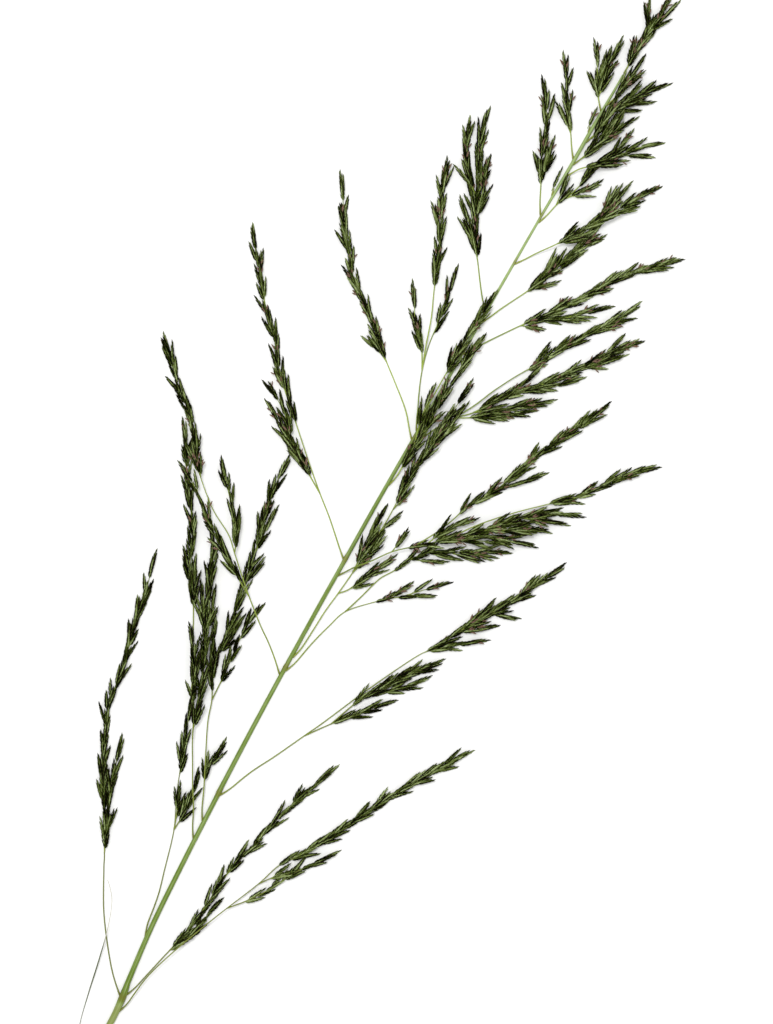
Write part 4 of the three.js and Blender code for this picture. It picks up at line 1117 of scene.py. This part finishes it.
@dataclass
class Stem:
    """The stem, which goes on through the flower head as its axis, with swollen brown joints.

    joints are the places of the joints along it. tones gives places and the shade there, from 0 for dark
    to 1 for pale. Below aged_below it turns a little brown, over a length of aged_span.
    """

    sides: int = 24
    step: float = 0.9
    per_span: int = 12
    joints: tuple[float, ...] = (28.0, 91.0, 131.0, 165.5, 204.5, 232.2, 261.2, 276.0)
    joint_reach: float = 1.2
    joint_brown: float = 0.6
    aged: float = 0.4
    aged_below: float = 27.0
    aged_span: float = 2.0
    tones: Pairs = (
        (25.5, 0.85),
        (28.0, 0.05),
        (30.0, 0.2),
        (90.0, 0.35),
        (200.0, 0.4),
        (260.0, 0.9),
    )

    def at(self, y: np.ndarray) -> np.ndarray:
        """Return x, y and radius of the stem at these distances along it, straight between its points."""
        table = np.array(STEM, float)
        return np.stack([np.interp(y, table[:, 1], table[:, i]) for i in range(3)], axis=-1)

    def ripe(self, y: np.ndarray) -> np.ndarray:
        """Return how brown it is: at each joint by a bell curve, and a little below the lowest one."""
        nearest = np.abs(y[:, None] - np.array(self.joints)).min(axis=1)
        swollen = bell(nearest, self.joint_reach) * self.joint_brown
        return np.maximum(swollen, self.aged * np.clip((self.aged_below - y) / self.aged_span, 0, 1))

    def patch(self) -> Patch:
        """Sweep the stem: round rings whose radius comes from the table, lying on the surface."""
        line = Line(np.array(STEM, float), per_span=self.per_span)
        y = np.arange(STEM[0][1], STEM[-1][1], self.step)
        x, radius = (np.interp(y, line.points[:, 1], line.points[:, i]) for i in (0, 2))
        tone = np.interp(y, *zip(*self.tones))
        tube = Tube(np.stack([x, y, radius], axis=-1), radius, radius, self.sides)
        return tube.patch(tone, self.ripe(y))

    def build(self) -> bpy.types.Object:
        """Make the stem and let it stand for its node."""
        piece = mesh_piece("flower_stem", [self.patch()], [StemFinish().material()])
        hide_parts("stem")
        return piece


@dataclass
class LeafTip:
    """The dry end of a leaf: a hair-thin ribbon that twists as it curls away.

    It starts inside the stem, foot_back before the leaf's foot and foot_inset radii off the middle.
    """

    half_width: float = 0.3
    half_thickness: float = 0.09
    narrowing: float = 0.75
    narrowing_power: float = 1.5
    half_turns: float = 1.6
    steps: int = 90
    sides: int = 8
    foot_back: float = 1.5
    foot_inset: float = 0.7
    tone: float = 0.5
    bleached: float = 0.9
    bleached_from: float = 0.66
    bleached_span: float = 0.1
    grain_seed: float = 3.0

    def patch(self, stem: Stem) -> Patch:
        """Sweep a flat ellipse along the route, narrower to its tip and turned steadily on the way.

        Its ripeness climbs with the share of its length, by 1 over bleached_span, and stops at bleached.
        """
        foot = stem.at(np.array(LEAF_FOOT))
        start = (foot[0] - foot[2] * self.foot_inset, LEAF_FOOT - self.foot_back, foot[2])
        line = Line(np.array([start, *LEAF], float))
        share = np.linspace(0, 1, self.steps)
        width = self.half_width * (1 - self.narrowing * share**self.narrowing_power)
        thickness = np.full(self.steps, self.half_thickness)
        twist = share * self.half_turns * math.pi
        tube = Tube(line.at(share * line.length), width, thickness, self.sides, twist)
        ripe = np.clip((share - self.bleached_from) / self.bleached_span, 0, self.bleached)
        return tube.patch(self.tone, ripe, self.grain_seed)

    def build(self, stem: Stem) -> bpy.types.Object:
        """Make the ribbon and let it stand for its node."""
        piece = mesh_piece("leaf_ribbon", [self.patch(stem)], [LeafFinish().material()])
        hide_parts("leaf_tip")
        return piece


@dataclass
class Form:
    """A small shape of unit length along Y, to be repeated: its vertices, faces, painted light and
    ripeness.
    """

    vertices: np.ndarray
    faces: list[np.ndarray]
    painted_light: np.ndarray
    ripe: np.ndarray

    def placed(
        self,
        roots: np.ndarray,
        directions: np.ndarray,
        lengths: np.ndarray,
        girths: np.ndarray,
        rolls: np.ndarray,
        tones: np.ndarray,
        skin: Skin,
    ) -> Patch:
        """Repeat the shape.

        A vertex (x, y, z) goes to root + direction times y times length + (across times x + upwards times
        z) times girth, after across and upwards have been rolled about the direction. What would dip under
        the surface lies on it.

        Args:
            roots: where each copy starts.
            directions: the way each copy points.
            lengths: the length of each copy.
            girths: what the shape's x and z are multiplied by.
            rolls: the turn of each copy about its direction.
            tones: the shade of each copy, from 0 to 1.
            skin: the finish. Scales keep their facets, and the other finishes are smooth.

        Returns:
            The patch of all the copies.
        """
        across, upwards = turned_axes(directions, rolls)
        x, y, z = (self.vertices[None, :, i, None] for i in range(3))
        girth, length = girths[:, None, None], lengths[:, None, None]
        side = (across[:, None] * x + upwards[:, None] * z) * girth
        points = roots[:, None] + directions[:, None] * y * length + side
        points[..., 2] = np.clip(points[..., 2], LOWEST, CEILING)
        copies, count = len(roots), len(self.vertices)
        starts = np.arange(copies)[:, None, None] * count
        faces = [(group[None] + starts).reshape(-1, group.shape[1]) for group in self.faces]
        grain = np.concatenate([x * girth, z * girth, y * length], axis=-1)
        grain = grain + (np.arange(copies) * GRAIN_STEP)[:, None, None]
        looks = (self.painted_light, tones[:, None], self.ripe)
        look = np.stack([np.broadcast_to(values, (copies, count)) for values in looks], axis=-1)
        smooth = skin is not Skin.SCALE
        vertices, look, grain = (array.reshape(-1, 3) for array in (points, look, grain))
        return Patch(vertices, faces, look, grain, skin.value, smooth)


@dataclass(frozen=True)
class SpikeletForm:
    """A spikelet of unit length: two small outer scales, then keeled scales in two rows that overlap.

    Each scale is a three-sided spindle. Its keel faces outwards, and its two flanks meet the flanks of the
    scales opposite, so that from above the rows make a plait with pointed edges. The fields that start with
    outer are those of the two outer scales. belts gives places along a scale and how full it is there, and
    ribs how light each of its vertices is: its base, keel and flanks of both belts, and its tip. The ribs
    are partly the paler nerves along the middle and partly painted light and shade: the flanks in the
    middle are painted light, and the keels at the edges and the base painted shade.
    """

    scales: int
    lean: float = 0.085
    lean_loss: float = 0.55
    last_lean: float = 0.15
    keel: float = 0.036
    flank: float = 0.05
    thickness: float = 0.052
    row_gap: float = 0.012
    first_base: float = 0.08
    base_span: float = 0.60
    first_length: float = 0.36
    length_loss: float = 0.05
    size_loss: float = 0.35
    size_power: float = 1.5
    outer_share: tuple[float, float] = (0.0, 0.05)
    outer_base: tuple[float, float] = (0.0, 0.03)
    outer_length: tuple[float, float] = (0.2, 0.27)
    outer_size: tuple[float, float] = (0.7, 0.8)
    belts: Pairs = ((0.3, 1.0), (0.66, 0.78))
    # Painted light and shade, partly the paler nerves: light on the flanks in the middle, dark on the keels
    # at the edges and at the base.
    ribs: tuple[float, ...] = (0.35, 0.25, 1.0, 1.0, 0.1, 0.75, 0.75, 0.55)
    ripe_tip: float = 0.35

    def build(self) -> Form:
        """Work out the spikelet.

        The base of scale j of n is at first_base + base_span j / (n - 1), and its tip a length of
        first_length - length_loss j / (n - 1) further. The tip stands lean away from the middle, to each
        side by turns, and less towards the end.
        """
        row = np.linspace(0, 1, self.scales)
        share = np.concatenate([self.outer_share, row])
        base_y = np.concatenate([self.outer_base, self.first_base + self.base_span * row])
        length = np.concatenate([self.outer_length, self.first_length - self.length_loss * row])
        size = np.concatenate([self.outer_size, 1 - self.size_loss * row**self.size_power])
        count = len(share)
        side = by_turns(np.arange(count))
        side[-1] *= self.last_lean
        outward, none = np.sign(side), 0 * side
        base = np.stack([side * self.row_gap, base_y, none], axis=-1)
        tip_x = side * self.lean * (1 - self.lean_loss * share)
        tip = np.stack([tip_x, base_y + length, none], axis=-1)
        reach = tip - base
        belts = [self._belt(base + place * reach, outward, size, swell) for place, swell in self.belts]
        vertices = np.concatenate([base[:, None], *belts, tip[:, None]], axis=1).reshape(-1, 3)
        ripe = np.zeros(len(self.ribs))
        ripe[-1] = self.ripe_tip
        return Form(vertices, self._faces(outward), np.tile(self.ribs, count), np.tile(ripe, count))

    def _belt(self, middle: np.ndarray, outward: np.ndarray, size: np.ndarray, swell: float) -> np.ndarray:
        """Return the keel and the two flanks of every scale.

        The keel stands outwards from the middle, and the flanks inwards, one above and one below.
        """
        none = 0 * outward
        keel = middle + np.stack([outward * self.keel * size * swell, none, none], axis=-1)
        inner = middle - np.stack([outward * self.flank * size * swell, none, none], axis=-1)
        lift = np.stack([none, none, self.thickness * size * swell], axis=-1)
        return np.stack([keel, inner + lift, inner - lift], axis=1)

    def _faces(self, outward: np.ndarray) -> list[np.ndarray]:
        """Return the faces of every scale, turned round on the mirrored side: its two ends and its belt."""
        ends = np.array([[0, 2, 1], [0, 3, 2], [0, 1, 3], [7, 4, 5], [7, 5, 6], [7, 6, 4]])
        belt = np.array([[1, 2, 5, 4], [2, 3, 6, 5], [3, 1, 4, 6]])
        starts = np.arange(len(outward))[:, None, None] * len(self.ribs)
        mirrored = outward[:, None, None] < 0
        return [
            (np.where(mirrored, group[None, :, ::-1], group[None]) + starts).reshape(-1, group.shape[1])
            for group in (ends, belt)
        ]


def spindle(sides: int, rings: Pairs, painted_light: float = 0.5) -> Form:
    """Return a round shape of unit length along Y.

    A vertex of ring (y, r) at angle a is (r cos a, y, -r sin a), and each end is closed by a fan to its
    middle. Its last argument is the painted light, the same value all over it.
    """
    angle = 2 * math.pi * np.arange(sides) / sides
    circle = np.stack([np.cos(angle), 0 * angle, -np.sin(angle)], axis=-1)
    grid = [circle * radius + np.array((0, y, 0)) for y, radius in rings]
    poles = np.array([(0, rings[0][0], 0), (0, rings[-1][0], 0)])
    vertices = np.concatenate([*grid, poles])
    count = len(vertices)
    return Form(vertices, ring_faces(len(rings), sides), np.full(count, painted_light), np.zeros(count))


@dataclass(frozen=True)
class ThreadForm:
    """The shape and the tones of a bare thread.

    Its radius goes evenly from radius to end_radius, and it stops end_back before its line does. The fields
    that start with foot are for a thread that leaves the stem: it enters the stem foot_back lower than its
    foot, foot_inset radii off the middle and foot_height radii up, and lean_over is the length in which it
    leans there. Tones climb with the height of the branch along the stem, from tone_from over tone_span.
    """

    radius: float = 0.2
    end_radius: float = 0.1
    end_back: float = 0.8
    step: float = 0.8
    fewest_rings: int = 4
    sides: int = 8
    lean_over: float = 4.0
    foot_back: float = 0.6
    foot_inset: float = 0.75
    foot_height: float = 1.05
    foot_swelling: float = 0.4
    foot_swelling_reach: float = 1.3
    foot_brown: float = 0.55
    foot_brown_reach: float = 1.8
    low_brown: float = 0.35
    tone: float = 0.3
    high_tone: float = 0.25
    tone_spread: float = 0.2
    tone_from: float = 30.0
    tone_span: float = 170.0

    def patch(self, line: Line, foot: Foot | None, y: float, seed: float, stem: Stem) -> Patch:
        """Sweep one thread.

        Low branches have browner and darker threads. At the foot, the radius and the brown grow by bell
        curves.

        Args:
            line: the thread's line.
            foot: where it leaves the stem, or None where it forks off another thread.
            y: how far along the stem its branch leaves.
            seed: moves its grain and its tone, so that no two threads are alike.
            stem: what it leaves.

        Returns:
            The patch of the thread.
        """
        count = max(self.fewest_rings, int(line.length / self.step))
        run = np.linspace(0, line.length - self.end_back, count)
        centres = line.at(run)
        radius = self.radius + run / line.length * (self.end_radius - self.radius)
        high = float(share_between(y, self.tone_from, self.tone_span))
        ripe = np.full(count, self.low_brown * (1 - high))
        if foot:
            centres = centres + self._lean_over(run, centres[0], foot, stem)
            radius = radius * (1 + self.foot_swelling * bell(run, self.foot_swelling_reach))
            ripe = np.maximum(ripe, self.foot_brown * bell(run, self.foot_brown_reach))
        tone = self.tone + self.high_tone * high + self.tone_spread * float(wobble(seed, Spread.GOLDEN))
        return Tube(centres, radius, radius, self.sides).patch(tone, ripe, seed, Skin.THREAD.value)

    def _lean_over(self, run: np.ndarray, start: np.ndarray, foot: Foot, stem: Stem) -> np.ndarray:
        """Return how far each ring moves to reach the stem: the gap times the square of the share left."""
        y = foot.y - self.foot_back
        x, _, radius = stem.at(np.array(y))
        inside = np.array((x + foot.side.value * radius * self.foot_inset, y, radius * self.foot_height))
        share_left = np.clip(1 - run / self.lean_over, 0, 1)
        return (inside - start) * (share_left**2)[:, None]


@dataclass
class Places:
    """Places for spikelets along one thread.

    at is the distance along it, lean and rise are angles in degrees, and draw is the running count at which
    every even spread is read.
    """

    at: np.ndarray
    lean: np.ndarray
    rise: np.ndarray
    length: np.ndarray
    draw: np.ndarray


@dataclass(frozen=True)
class FillRow:
    """A row of spikelets between those of the solids.

    share is how many of the solids' spikelets have one beside them, at a fullness of 1. It starts back
    pitches before that spikelet, on the same side (1) or on the other one (-1). lean and rise are in
    degrees. draw_step moves its draws, so that it looks different from its neighbour.
    """

    share: float
    back: float
    side: float
    lean: float
    lean_spread: float
    lean_by: Spread
    rise: float
    rise_spread: float
    rise_by: Spread
    draw_step: float

    def places(self, solid: Places, side: np.ndarray, picked: np.ndarray) -> Places:
        """Return a place beside each picked one of the solids' places, whose leans have the signs side."""
        draw = solid.draw[picked]
        lean = self.lean + self.lean_spread * wobble(draw, self.lean_by)
        return Places(
            at=solid.at[picked] - PITCH * self.back,
            lean=self.side * side[picked] * lean,
            rise=self.rise + self.rise_spread * wobble(draw, self.rise_by),
            length=solid.length[picked] * FILL_LENGTH,
            draw=draw + self.draw_step,
        )


# The fill rows: an inner one close to the thread, an outer one, and one that stands out widely
INNER = FillRow(
    share=0.9, back=0.5, side=1.0, lean=4.0, lean_spread=7.0, lean_by=Spread.SILVER,
    rise=8.0, rise_spread=4.0, rise_by=Spread.PLASTIC, draw_step=0.37,
)
OUTER = FillRow(
    share=0.7, back=0.25, side=-1.0, lean=7.0, lean_spread=7.0, lean_by=Spread.SILVER,
    rise=3.0, rise_spread=5.0, rise_by=Spread.PLASTIC, draw_step=0.71,
)
WIDE = FillRow(
    share=0.45, back=0.7, side=-1.0, lean=13.0, lean_spread=6.0, lean_by=Spread.PLASTIC,
    rise=1.0, rise_spread=4.0, rise_by=Spread.SILVER, draw_step=0.53,
)

# What the chance of a spikelet is multiplied by, to draw the wide row apart from the other two
WIDE_SHUFFLE = 7.3

# The share of their lean that the fill rows keep at the tip of a thread
TIP_CALM = 0.4


@dataclass
class Growth:
    """The spikelets of a thread or of a branch: where each starts, where it points, and how it looks.

    draws holds the running counts at which their even spreads are read.
    """

    roots: np.ndarray
    directions: np.ndarray
    lengths: np.ndarray
    rolls: np.ndarray
    tones: np.ndarray
    draws: np.ndarray


def joined(parts: list[Places] | list[Growth]) -> Places | Growth:
    """Return all the parts as one, joined field by field."""
    kind = type(parts[0])
    return kind(*(np.concatenate([getattr(part, f.name) for part in parts]) for f in fields(kind)))


def solid_places(line: Line, bare: float, seed: int) -> Places:
    """Repeat the rule of the solids along one thread.

    One spikelet stands every pitch, left and right by turns, and the last one nearly straight ahead at the
    end of the thread.

    Args:
        line: the thread's line.
        bare: the length at its start that carries none.
        seed: the running count of its first spikelet.

    Returns:
        The places of the spikelets that the solids have.
    """
    end = line.length - END_OVERLAP
    count = max(0, math.floor((end - bare) / PITCH))
    k = np.arange(count + 1)
    draw = seed + k
    last = k == count
    silver, golden, plastic = (wobble(draw, by) for by in (Spread.SILVER, Spread.GOLDEN, Spread.PLASTIC))
    return Places(
        at=np.where(last, end, bare + PITCH * (k + FIRST_PLACE + PLACE_SPREAD * silver)),
        lean=by_turns(k) * np.where(last, LAST_LEAN, LEAN + LEAN_SPREAD * golden),
        rise=np.where(last, 0, RISE + RISE_SPREAD * silver),
        length=SPIKELET_LENGTH * (1 + LENGTH_SPREAD * plastic),
        draw=draw,
    )


def fill_places(solid: Places, fullness: float) -> list[Places]:
    """Return the places of the three fill rows.

    Each row stands where the draw falls within its share of the fullness. At the tip there is always an
    inner and an outer one, unless the fullness is 0, and never a wide one.
    """
    k = np.arange(len(solid.at))
    last = k == k[-1]
    side = by_turns(k) * np.where(last, TIP_CALM, 1.0)
    chance = fraction(solid.draw, Spread.CHANCE)
    tip = last & (fullness > 0)
    picks = (
        (INNER, tip | (chance < INNER.share * fullness)),
        (OUTER, tip | (chance > 1 - OUTER.share * fullness)),
        (WIDE, ~last & ((chance * WIDE_SHUFFLE) % 1 < WIDE.share * fullness)),
    )
    return [row.places(solid, side, picked) for row, picked in picks]


def pointed(ahead: np.ndarray, lean: np.ndarray, rise: np.ndarray) -> np.ndarray:
    """Turn level directions by the lean about the vertical, and let them climb by their climb plus rise."""
    climb = np.arctan2(ahead[:, 2], np.hypot(ahead[:, 0], ahead[:, 1])) + np.radians(rise)
    bearing = np.arctan2(ahead[:, 1], ahead[:, 0]) + np.radians(lean)
    level = np.cos(climb)
    return np.stack([level * np.cos(bearing), level * np.sin(bearing), np.sin(climb)], axis=-1)


@dataclass(frozen=True)
class Anthers:
    """The anthers that hang out of a share of the spikelets, above a height along the stem.

    A group has several. Each stands out sideways and is offset to its side and upwards. place and swing are
    shares of a spikelet's length and of its direction, each with an even spread.
    """

    share: float = 0.16
    above: float = 150.0
    group: int = 3
    length: float = 1.5
    sides: int = 5
    rings: Pairs = ((0.0, 0.06), (0.3, 0.2), (0.7, 0.2), (1.0, 0.08))
    draw_step: float = 0.29
    place: float = 0.5
    place_spread: float = 0.2
    offset: float = 0.3
    swing: float = 0.5
    swing_spread: float = 0.3
    tone: float = 0.5

    def patches(self, grown: Growth) -> list[Patch]:
        """Return the anthers of a branch as one patch, or none where it has none."""
        picked = (fraction(grown.draws, Spread.ANTHER) < self.share) & (grown.roots[:, 1] > self.above)
        if not picked.any():
            return []
        roots, ways, lengths, draws = (
            np.repeat(values[picked], self.group, axis=0)
            for values in (grown.roots, grown.directions, grown.lengths, grown.draws)
        )
        draws = draws + self.draw_step * np.arange(len(draws))
        sign = np.where(wobble(draws, Spread.GOLDEN) > 0, 1.0, -1.0)
        sideways = unit(np.cross(ways, UP)) * sign[:, None]
        place = lengths * (self.place + self.place_spread * wobble(draws, Spread.SILVER))
        swing = self.swing + self.swing_spread * wobble(draws, Spread.PLASTIC)
        roots = roots + ways * place[:, None] + sideways * self.offset + UP * self.offset
        ways = unit(ways + sideways * swing[:, None])
        one = np.ones(len(roots))
        form = spindle(self.sides, self.rings)
        return [form.placed(roots, ways, one * self.length, one, one * 0, one * self.tone, Skin.ANTHER)]


@dataclass
class Spray:
    """One branch of the flower head: its threads, spikelets on short stalks, and anthers.

    fullness is how densely its spikelets stand between those of the solids. sparse holds the numbers of the
    threads that carry only a small share of that. paler is added to the tone of its spikelets, which climbs
    along the stem from tone_from over tone_span. A stalk goes stalk_overlap into its spikelet. The running
    counts are multiplied by form_shuffle to draw the forms of the spikelets, and by thread_shuffle for the
    grain and the tone of the threads.
    """

    name: str
    branch: Branch
    order: int
    stem: Stem
    fullness: float = 1.0
    sparse: frozenset[int] = frozenset()
    paler: float = 0.0
    stalk: float = 0.9
    stalk_overlap: float = 0.5
    stalk_radius: float = 0.1
    stalk_waist: float = 0.8
    stalk_sides: int = 5
    girth: float = 7.2
    most_roll: float = 38.0
    tone: float = 0.35
    high_tone: float = 0.22
    tone_spread: float = 0.35
    tone_from: float = 60.0
    tone_span: float = 200.0
    form_shuffle: float = 3.1
    thread_shuffle: float = 0.31

    def foot(self, foot: Foot) -> np.ndarray:
        """Return where a branch starts: beside the stem, as in the solids."""
        x, _, radius = self.stem.at(np.array(foot.y))
        reach = radius + SEAT_GAP + THREAD_THICKNESS / math.sqrt(3)
        return np.array((x + foot.side.value * reach, foot.y, max(radius, THREAD_THICKNESS / 2)))

    def lines(self) -> list[Line]:
        """Return the line of every thread, each from its own start."""
        routes: list[np.ndarray] = []
        for thread in self.branch.threads:
            if thread.on:
                start = routes[thread.on[0]][thread.on[1] + 1] + UP * FORK_LIFT
            else:
                start = self.foot(self.branch.foot)
            routes.append(np.vstack([start, thread.route]).astype(float))
        return [Line(route) for route in routes]

    def growth(self, line: Line, bare: float, seed: int, fullness: float) -> Growth:
        """Place the spikelets of one thread: those of the solids, and the fill rows between them.

        All of them start on the part of the thread that isn't bare, and none points under the surface.
        """
        solid = solid_places(line, bare, seed)
        places = joined([solid, *fill_places(solid, fullness)])
        at = np.clip(places.at, min(bare, line.length / 2), line.length - END_OVERLAP)
        roots = line.at(at)
        ways = pointed(line.along(at), places.lean, places.rise)
        ways[:, 2] = np.maximum(ways[:, 2], (LOWEST - roots[:, 2]) / places.length)
        roll = np.radians(self.most_roll) * wobble(places.draw, Spread.ROLL)
        high = share_between(roots[:, 1], self.tone_from, self.tone_span)
        spread = self.tone_spread * wobble(places.draw, Spread.TONE)
        tone = np.clip(self.tone + self.paler + self.high_tone * high + spread, 0, 1)
        return Growth(roots, unit(ways), places.length, roll, tone, places.draw)

    def stalks(self, grown: Growth) -> Patch:
        """Return the short stalks of all the spikelets, each with a slight waist."""
        waist = self.stalk_radius * self.stalk_waist
        form = spindle(self.stalk_sides, ((0.0, self.stalk_radius), (0.5, waist), (1.0, self.stalk_radius)))
        one = np.ones(len(grown.roots))
        length = one * (self.stalk + self.stalk_overlap)
        return form.placed(grown.roots, grown.directions, length, one, one * 0, grown.tones, Skin.THREAD)

    def spikelets(self, grown: Growth) -> list[Patch]:
        """Return the spikelets on their stalks, one patch for each of their forms."""
        shuffled = (grown.draws * Spread.GOLDEN.value * self.form_shuffle) % 1
        kind = np.floor(shuffled * len(SPIKELET_SCALES))
        starts = grown.roots + grown.directions * self.stalk
        lengths = grown.lengths - self.stalk
        girths = np.full(len(starts), self.girth)
        columns = (starts, grown.directions, lengths, girths, grown.rolls, grown.tones)
        made = []
        for i, scales in enumerate(SPIKELET_SCALES):
            mine = kind == i
            if mine.any():
                form = SpikeletForm(scales).build()
                made.append(form.placed(*(column[mine] for column in columns), Skin.SCALE))
        return made

    def patches(self) -> list[Patch]:
        """Return every patch of the branch: threads, stalks, spikelets and anthers."""
        threads, parts = [], []
        base = self.branch.foot
        for i, (line, thread) in enumerate(zip(self.lines(), self.branch.threads)):
            seed = DRAWS_PER_BRANCH * self.order + DRAWS_PER_THREAD * i
            foot = None if thread.on else base
            shuffled = seed * self.thread_shuffle
            threads.append(ThreadForm().patch(line, foot, base.y, shuffled, self.stem))
            fullness = self.fullness * (SPARSE_SHARE if i in self.sparse else 1.0)
            parts.append(self.growth(line, thread.bare, seed, fullness))
        grown = joined(parts)
        return [*threads, self.stalks(grown), *self.spikelets(grown), *Anthers().patches(grown)]

    def build(self, finishes: list[bpy.types.Material]) -> bpy.types.Object:
        """Make the branch as one piece and let it stand for its node."""
        name = self.name.replace("spray", "branch").replace("spikelet", "lone_spikelet")
        piece = mesh_piece(name, self.patches(), finishes)
        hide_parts(self.name)
        return piece


@dataclass
class Studio:
    """The white board, the soft light and the camera, which looks straight down as a scanner does.

    lens, sensor, view_height and view_centre are in millimetres, and view_turn is in degrees. The board,
    the lamp and the clipping of the camera are in metres.
    """

    lens: float = 120.0
    sensor: float = 36.0
    view_height: float = 286.7
    view_centre: tuple[float, float] = (-0.16, 182.5)
    view_turn: float = 28.5
    board: float = 4.0
    sky: float = 0.9
    key_power: float = 6.0
    key_size: float = 0.25
    key_place: tuple[float, float, float] = (-0.2, 0.12, 1.1)
    clip: tuple[float, float] = (0.01, 20.0)

    def build(self) -> None:
        """Make the board, the lights and the camera."""
        half = self.board / 2
        corners = [(-half, -half, 0), (half, -half, 0), (half, half, 0), (-half, half, 0)]
        mesh = bpy.data.meshes.new("board")
        mesh.from_pydata(corners, [], [(0, 1, 2, 3)])
        mesh.materials.append(FloorFinish().material())
        board = bpy.data.objects.new("board", mesh)
        bpy.context.scene.collection.objects.link(board)
        board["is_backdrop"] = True
        self.light()
        self.camera()

    def light(self) -> None:
        """Light it with an even white sky and one soft lamp from the left, and keep the plain tones."""
        world = bpy.data.worlds.new("soft_sky")
        world.use_nodes = True
        world.node_tree.nodes["Background"].inputs["Color"].default_value = (1, 1, 1, 1)
        world.node_tree.nodes["Background"].inputs["Strength"].default_value = self.sky
        bpy.context.scene.world = world
        lamp = bpy.data.lights.new("key", "AREA")
        lamp.shape = "DISK"
        lamp.size = self.key_size
        lamp.energy = self.key_power
        key = bpy.data.objects.new("key", lamp)
        target = np.array((self.view_centre[0] * MM, self.view_centre[1] * MM, 0.0))
        place = target + np.array(self.key_place)
        key.location = place
        back = place - target
        yaw = math.atan2(back[1], back[0]) + math.pi / 2
        key.rotation_euler = (math.atan2(math.hypot(back[0], back[1]), back[2]), 0, yaw)
        bpy.context.scene.collection.objects.link(key)
        bpy.context.scene.view_settings.view_transform = "Standard"

    def camera(self) -> None:
        """Look straight down with a long lens, turned so that the stem runs up to the right."""
        data = bpy.data.cameras.new("scan")
        data.lens = self.lens
        data.sensor_width = self.sensor
        data.clip_start, data.clip_end = self.clip
        camera = bpy.data.objects.new("scan", data)
        distance = self.lens / self.sensor * self.view_height
        camera.location = (self.view_centre[0] * MM, self.view_centre[1] * MM, distance * MM)
        camera.rotation_euler = (0, 0, math.radians(self.view_turn))
        bpy.context.scene.collection.objects.link(camera)
        bpy.context.scene.camera = camera


def write_sizes() -> None:
    boxes = {"cad": CAD_BOX, "visual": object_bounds()}
    plain = {name: [[round(float(v), 6) for v in corner] for corner in box] for name, box in boxes.items()}


def main() -> None:
    """Build the studio, the stem, the leaf tip and every branch."""
    logging.basicConfig(level=logging.INFO, format="%(message)s")
    Studio().build()
    stem = Stem()
    stem.build()
    LeafTip().build(stem)
    finishes = [ThreadFinish().material(), ScaleFinish().material(), AntherFinish().material()]
    for order, (name, branch) in enumerate(BRANCHES.items()):
        fullness, sparse = FULLNESS.get(name, 1.0), SPARSE.get(name, frozenset())
        paler = PALER.get(name, 0.0)
        Spray(name, branch, order, stem, fullness, sparse, paler).build(finishes)
    write_sizes()


if __name__ == "__main__":
    main()
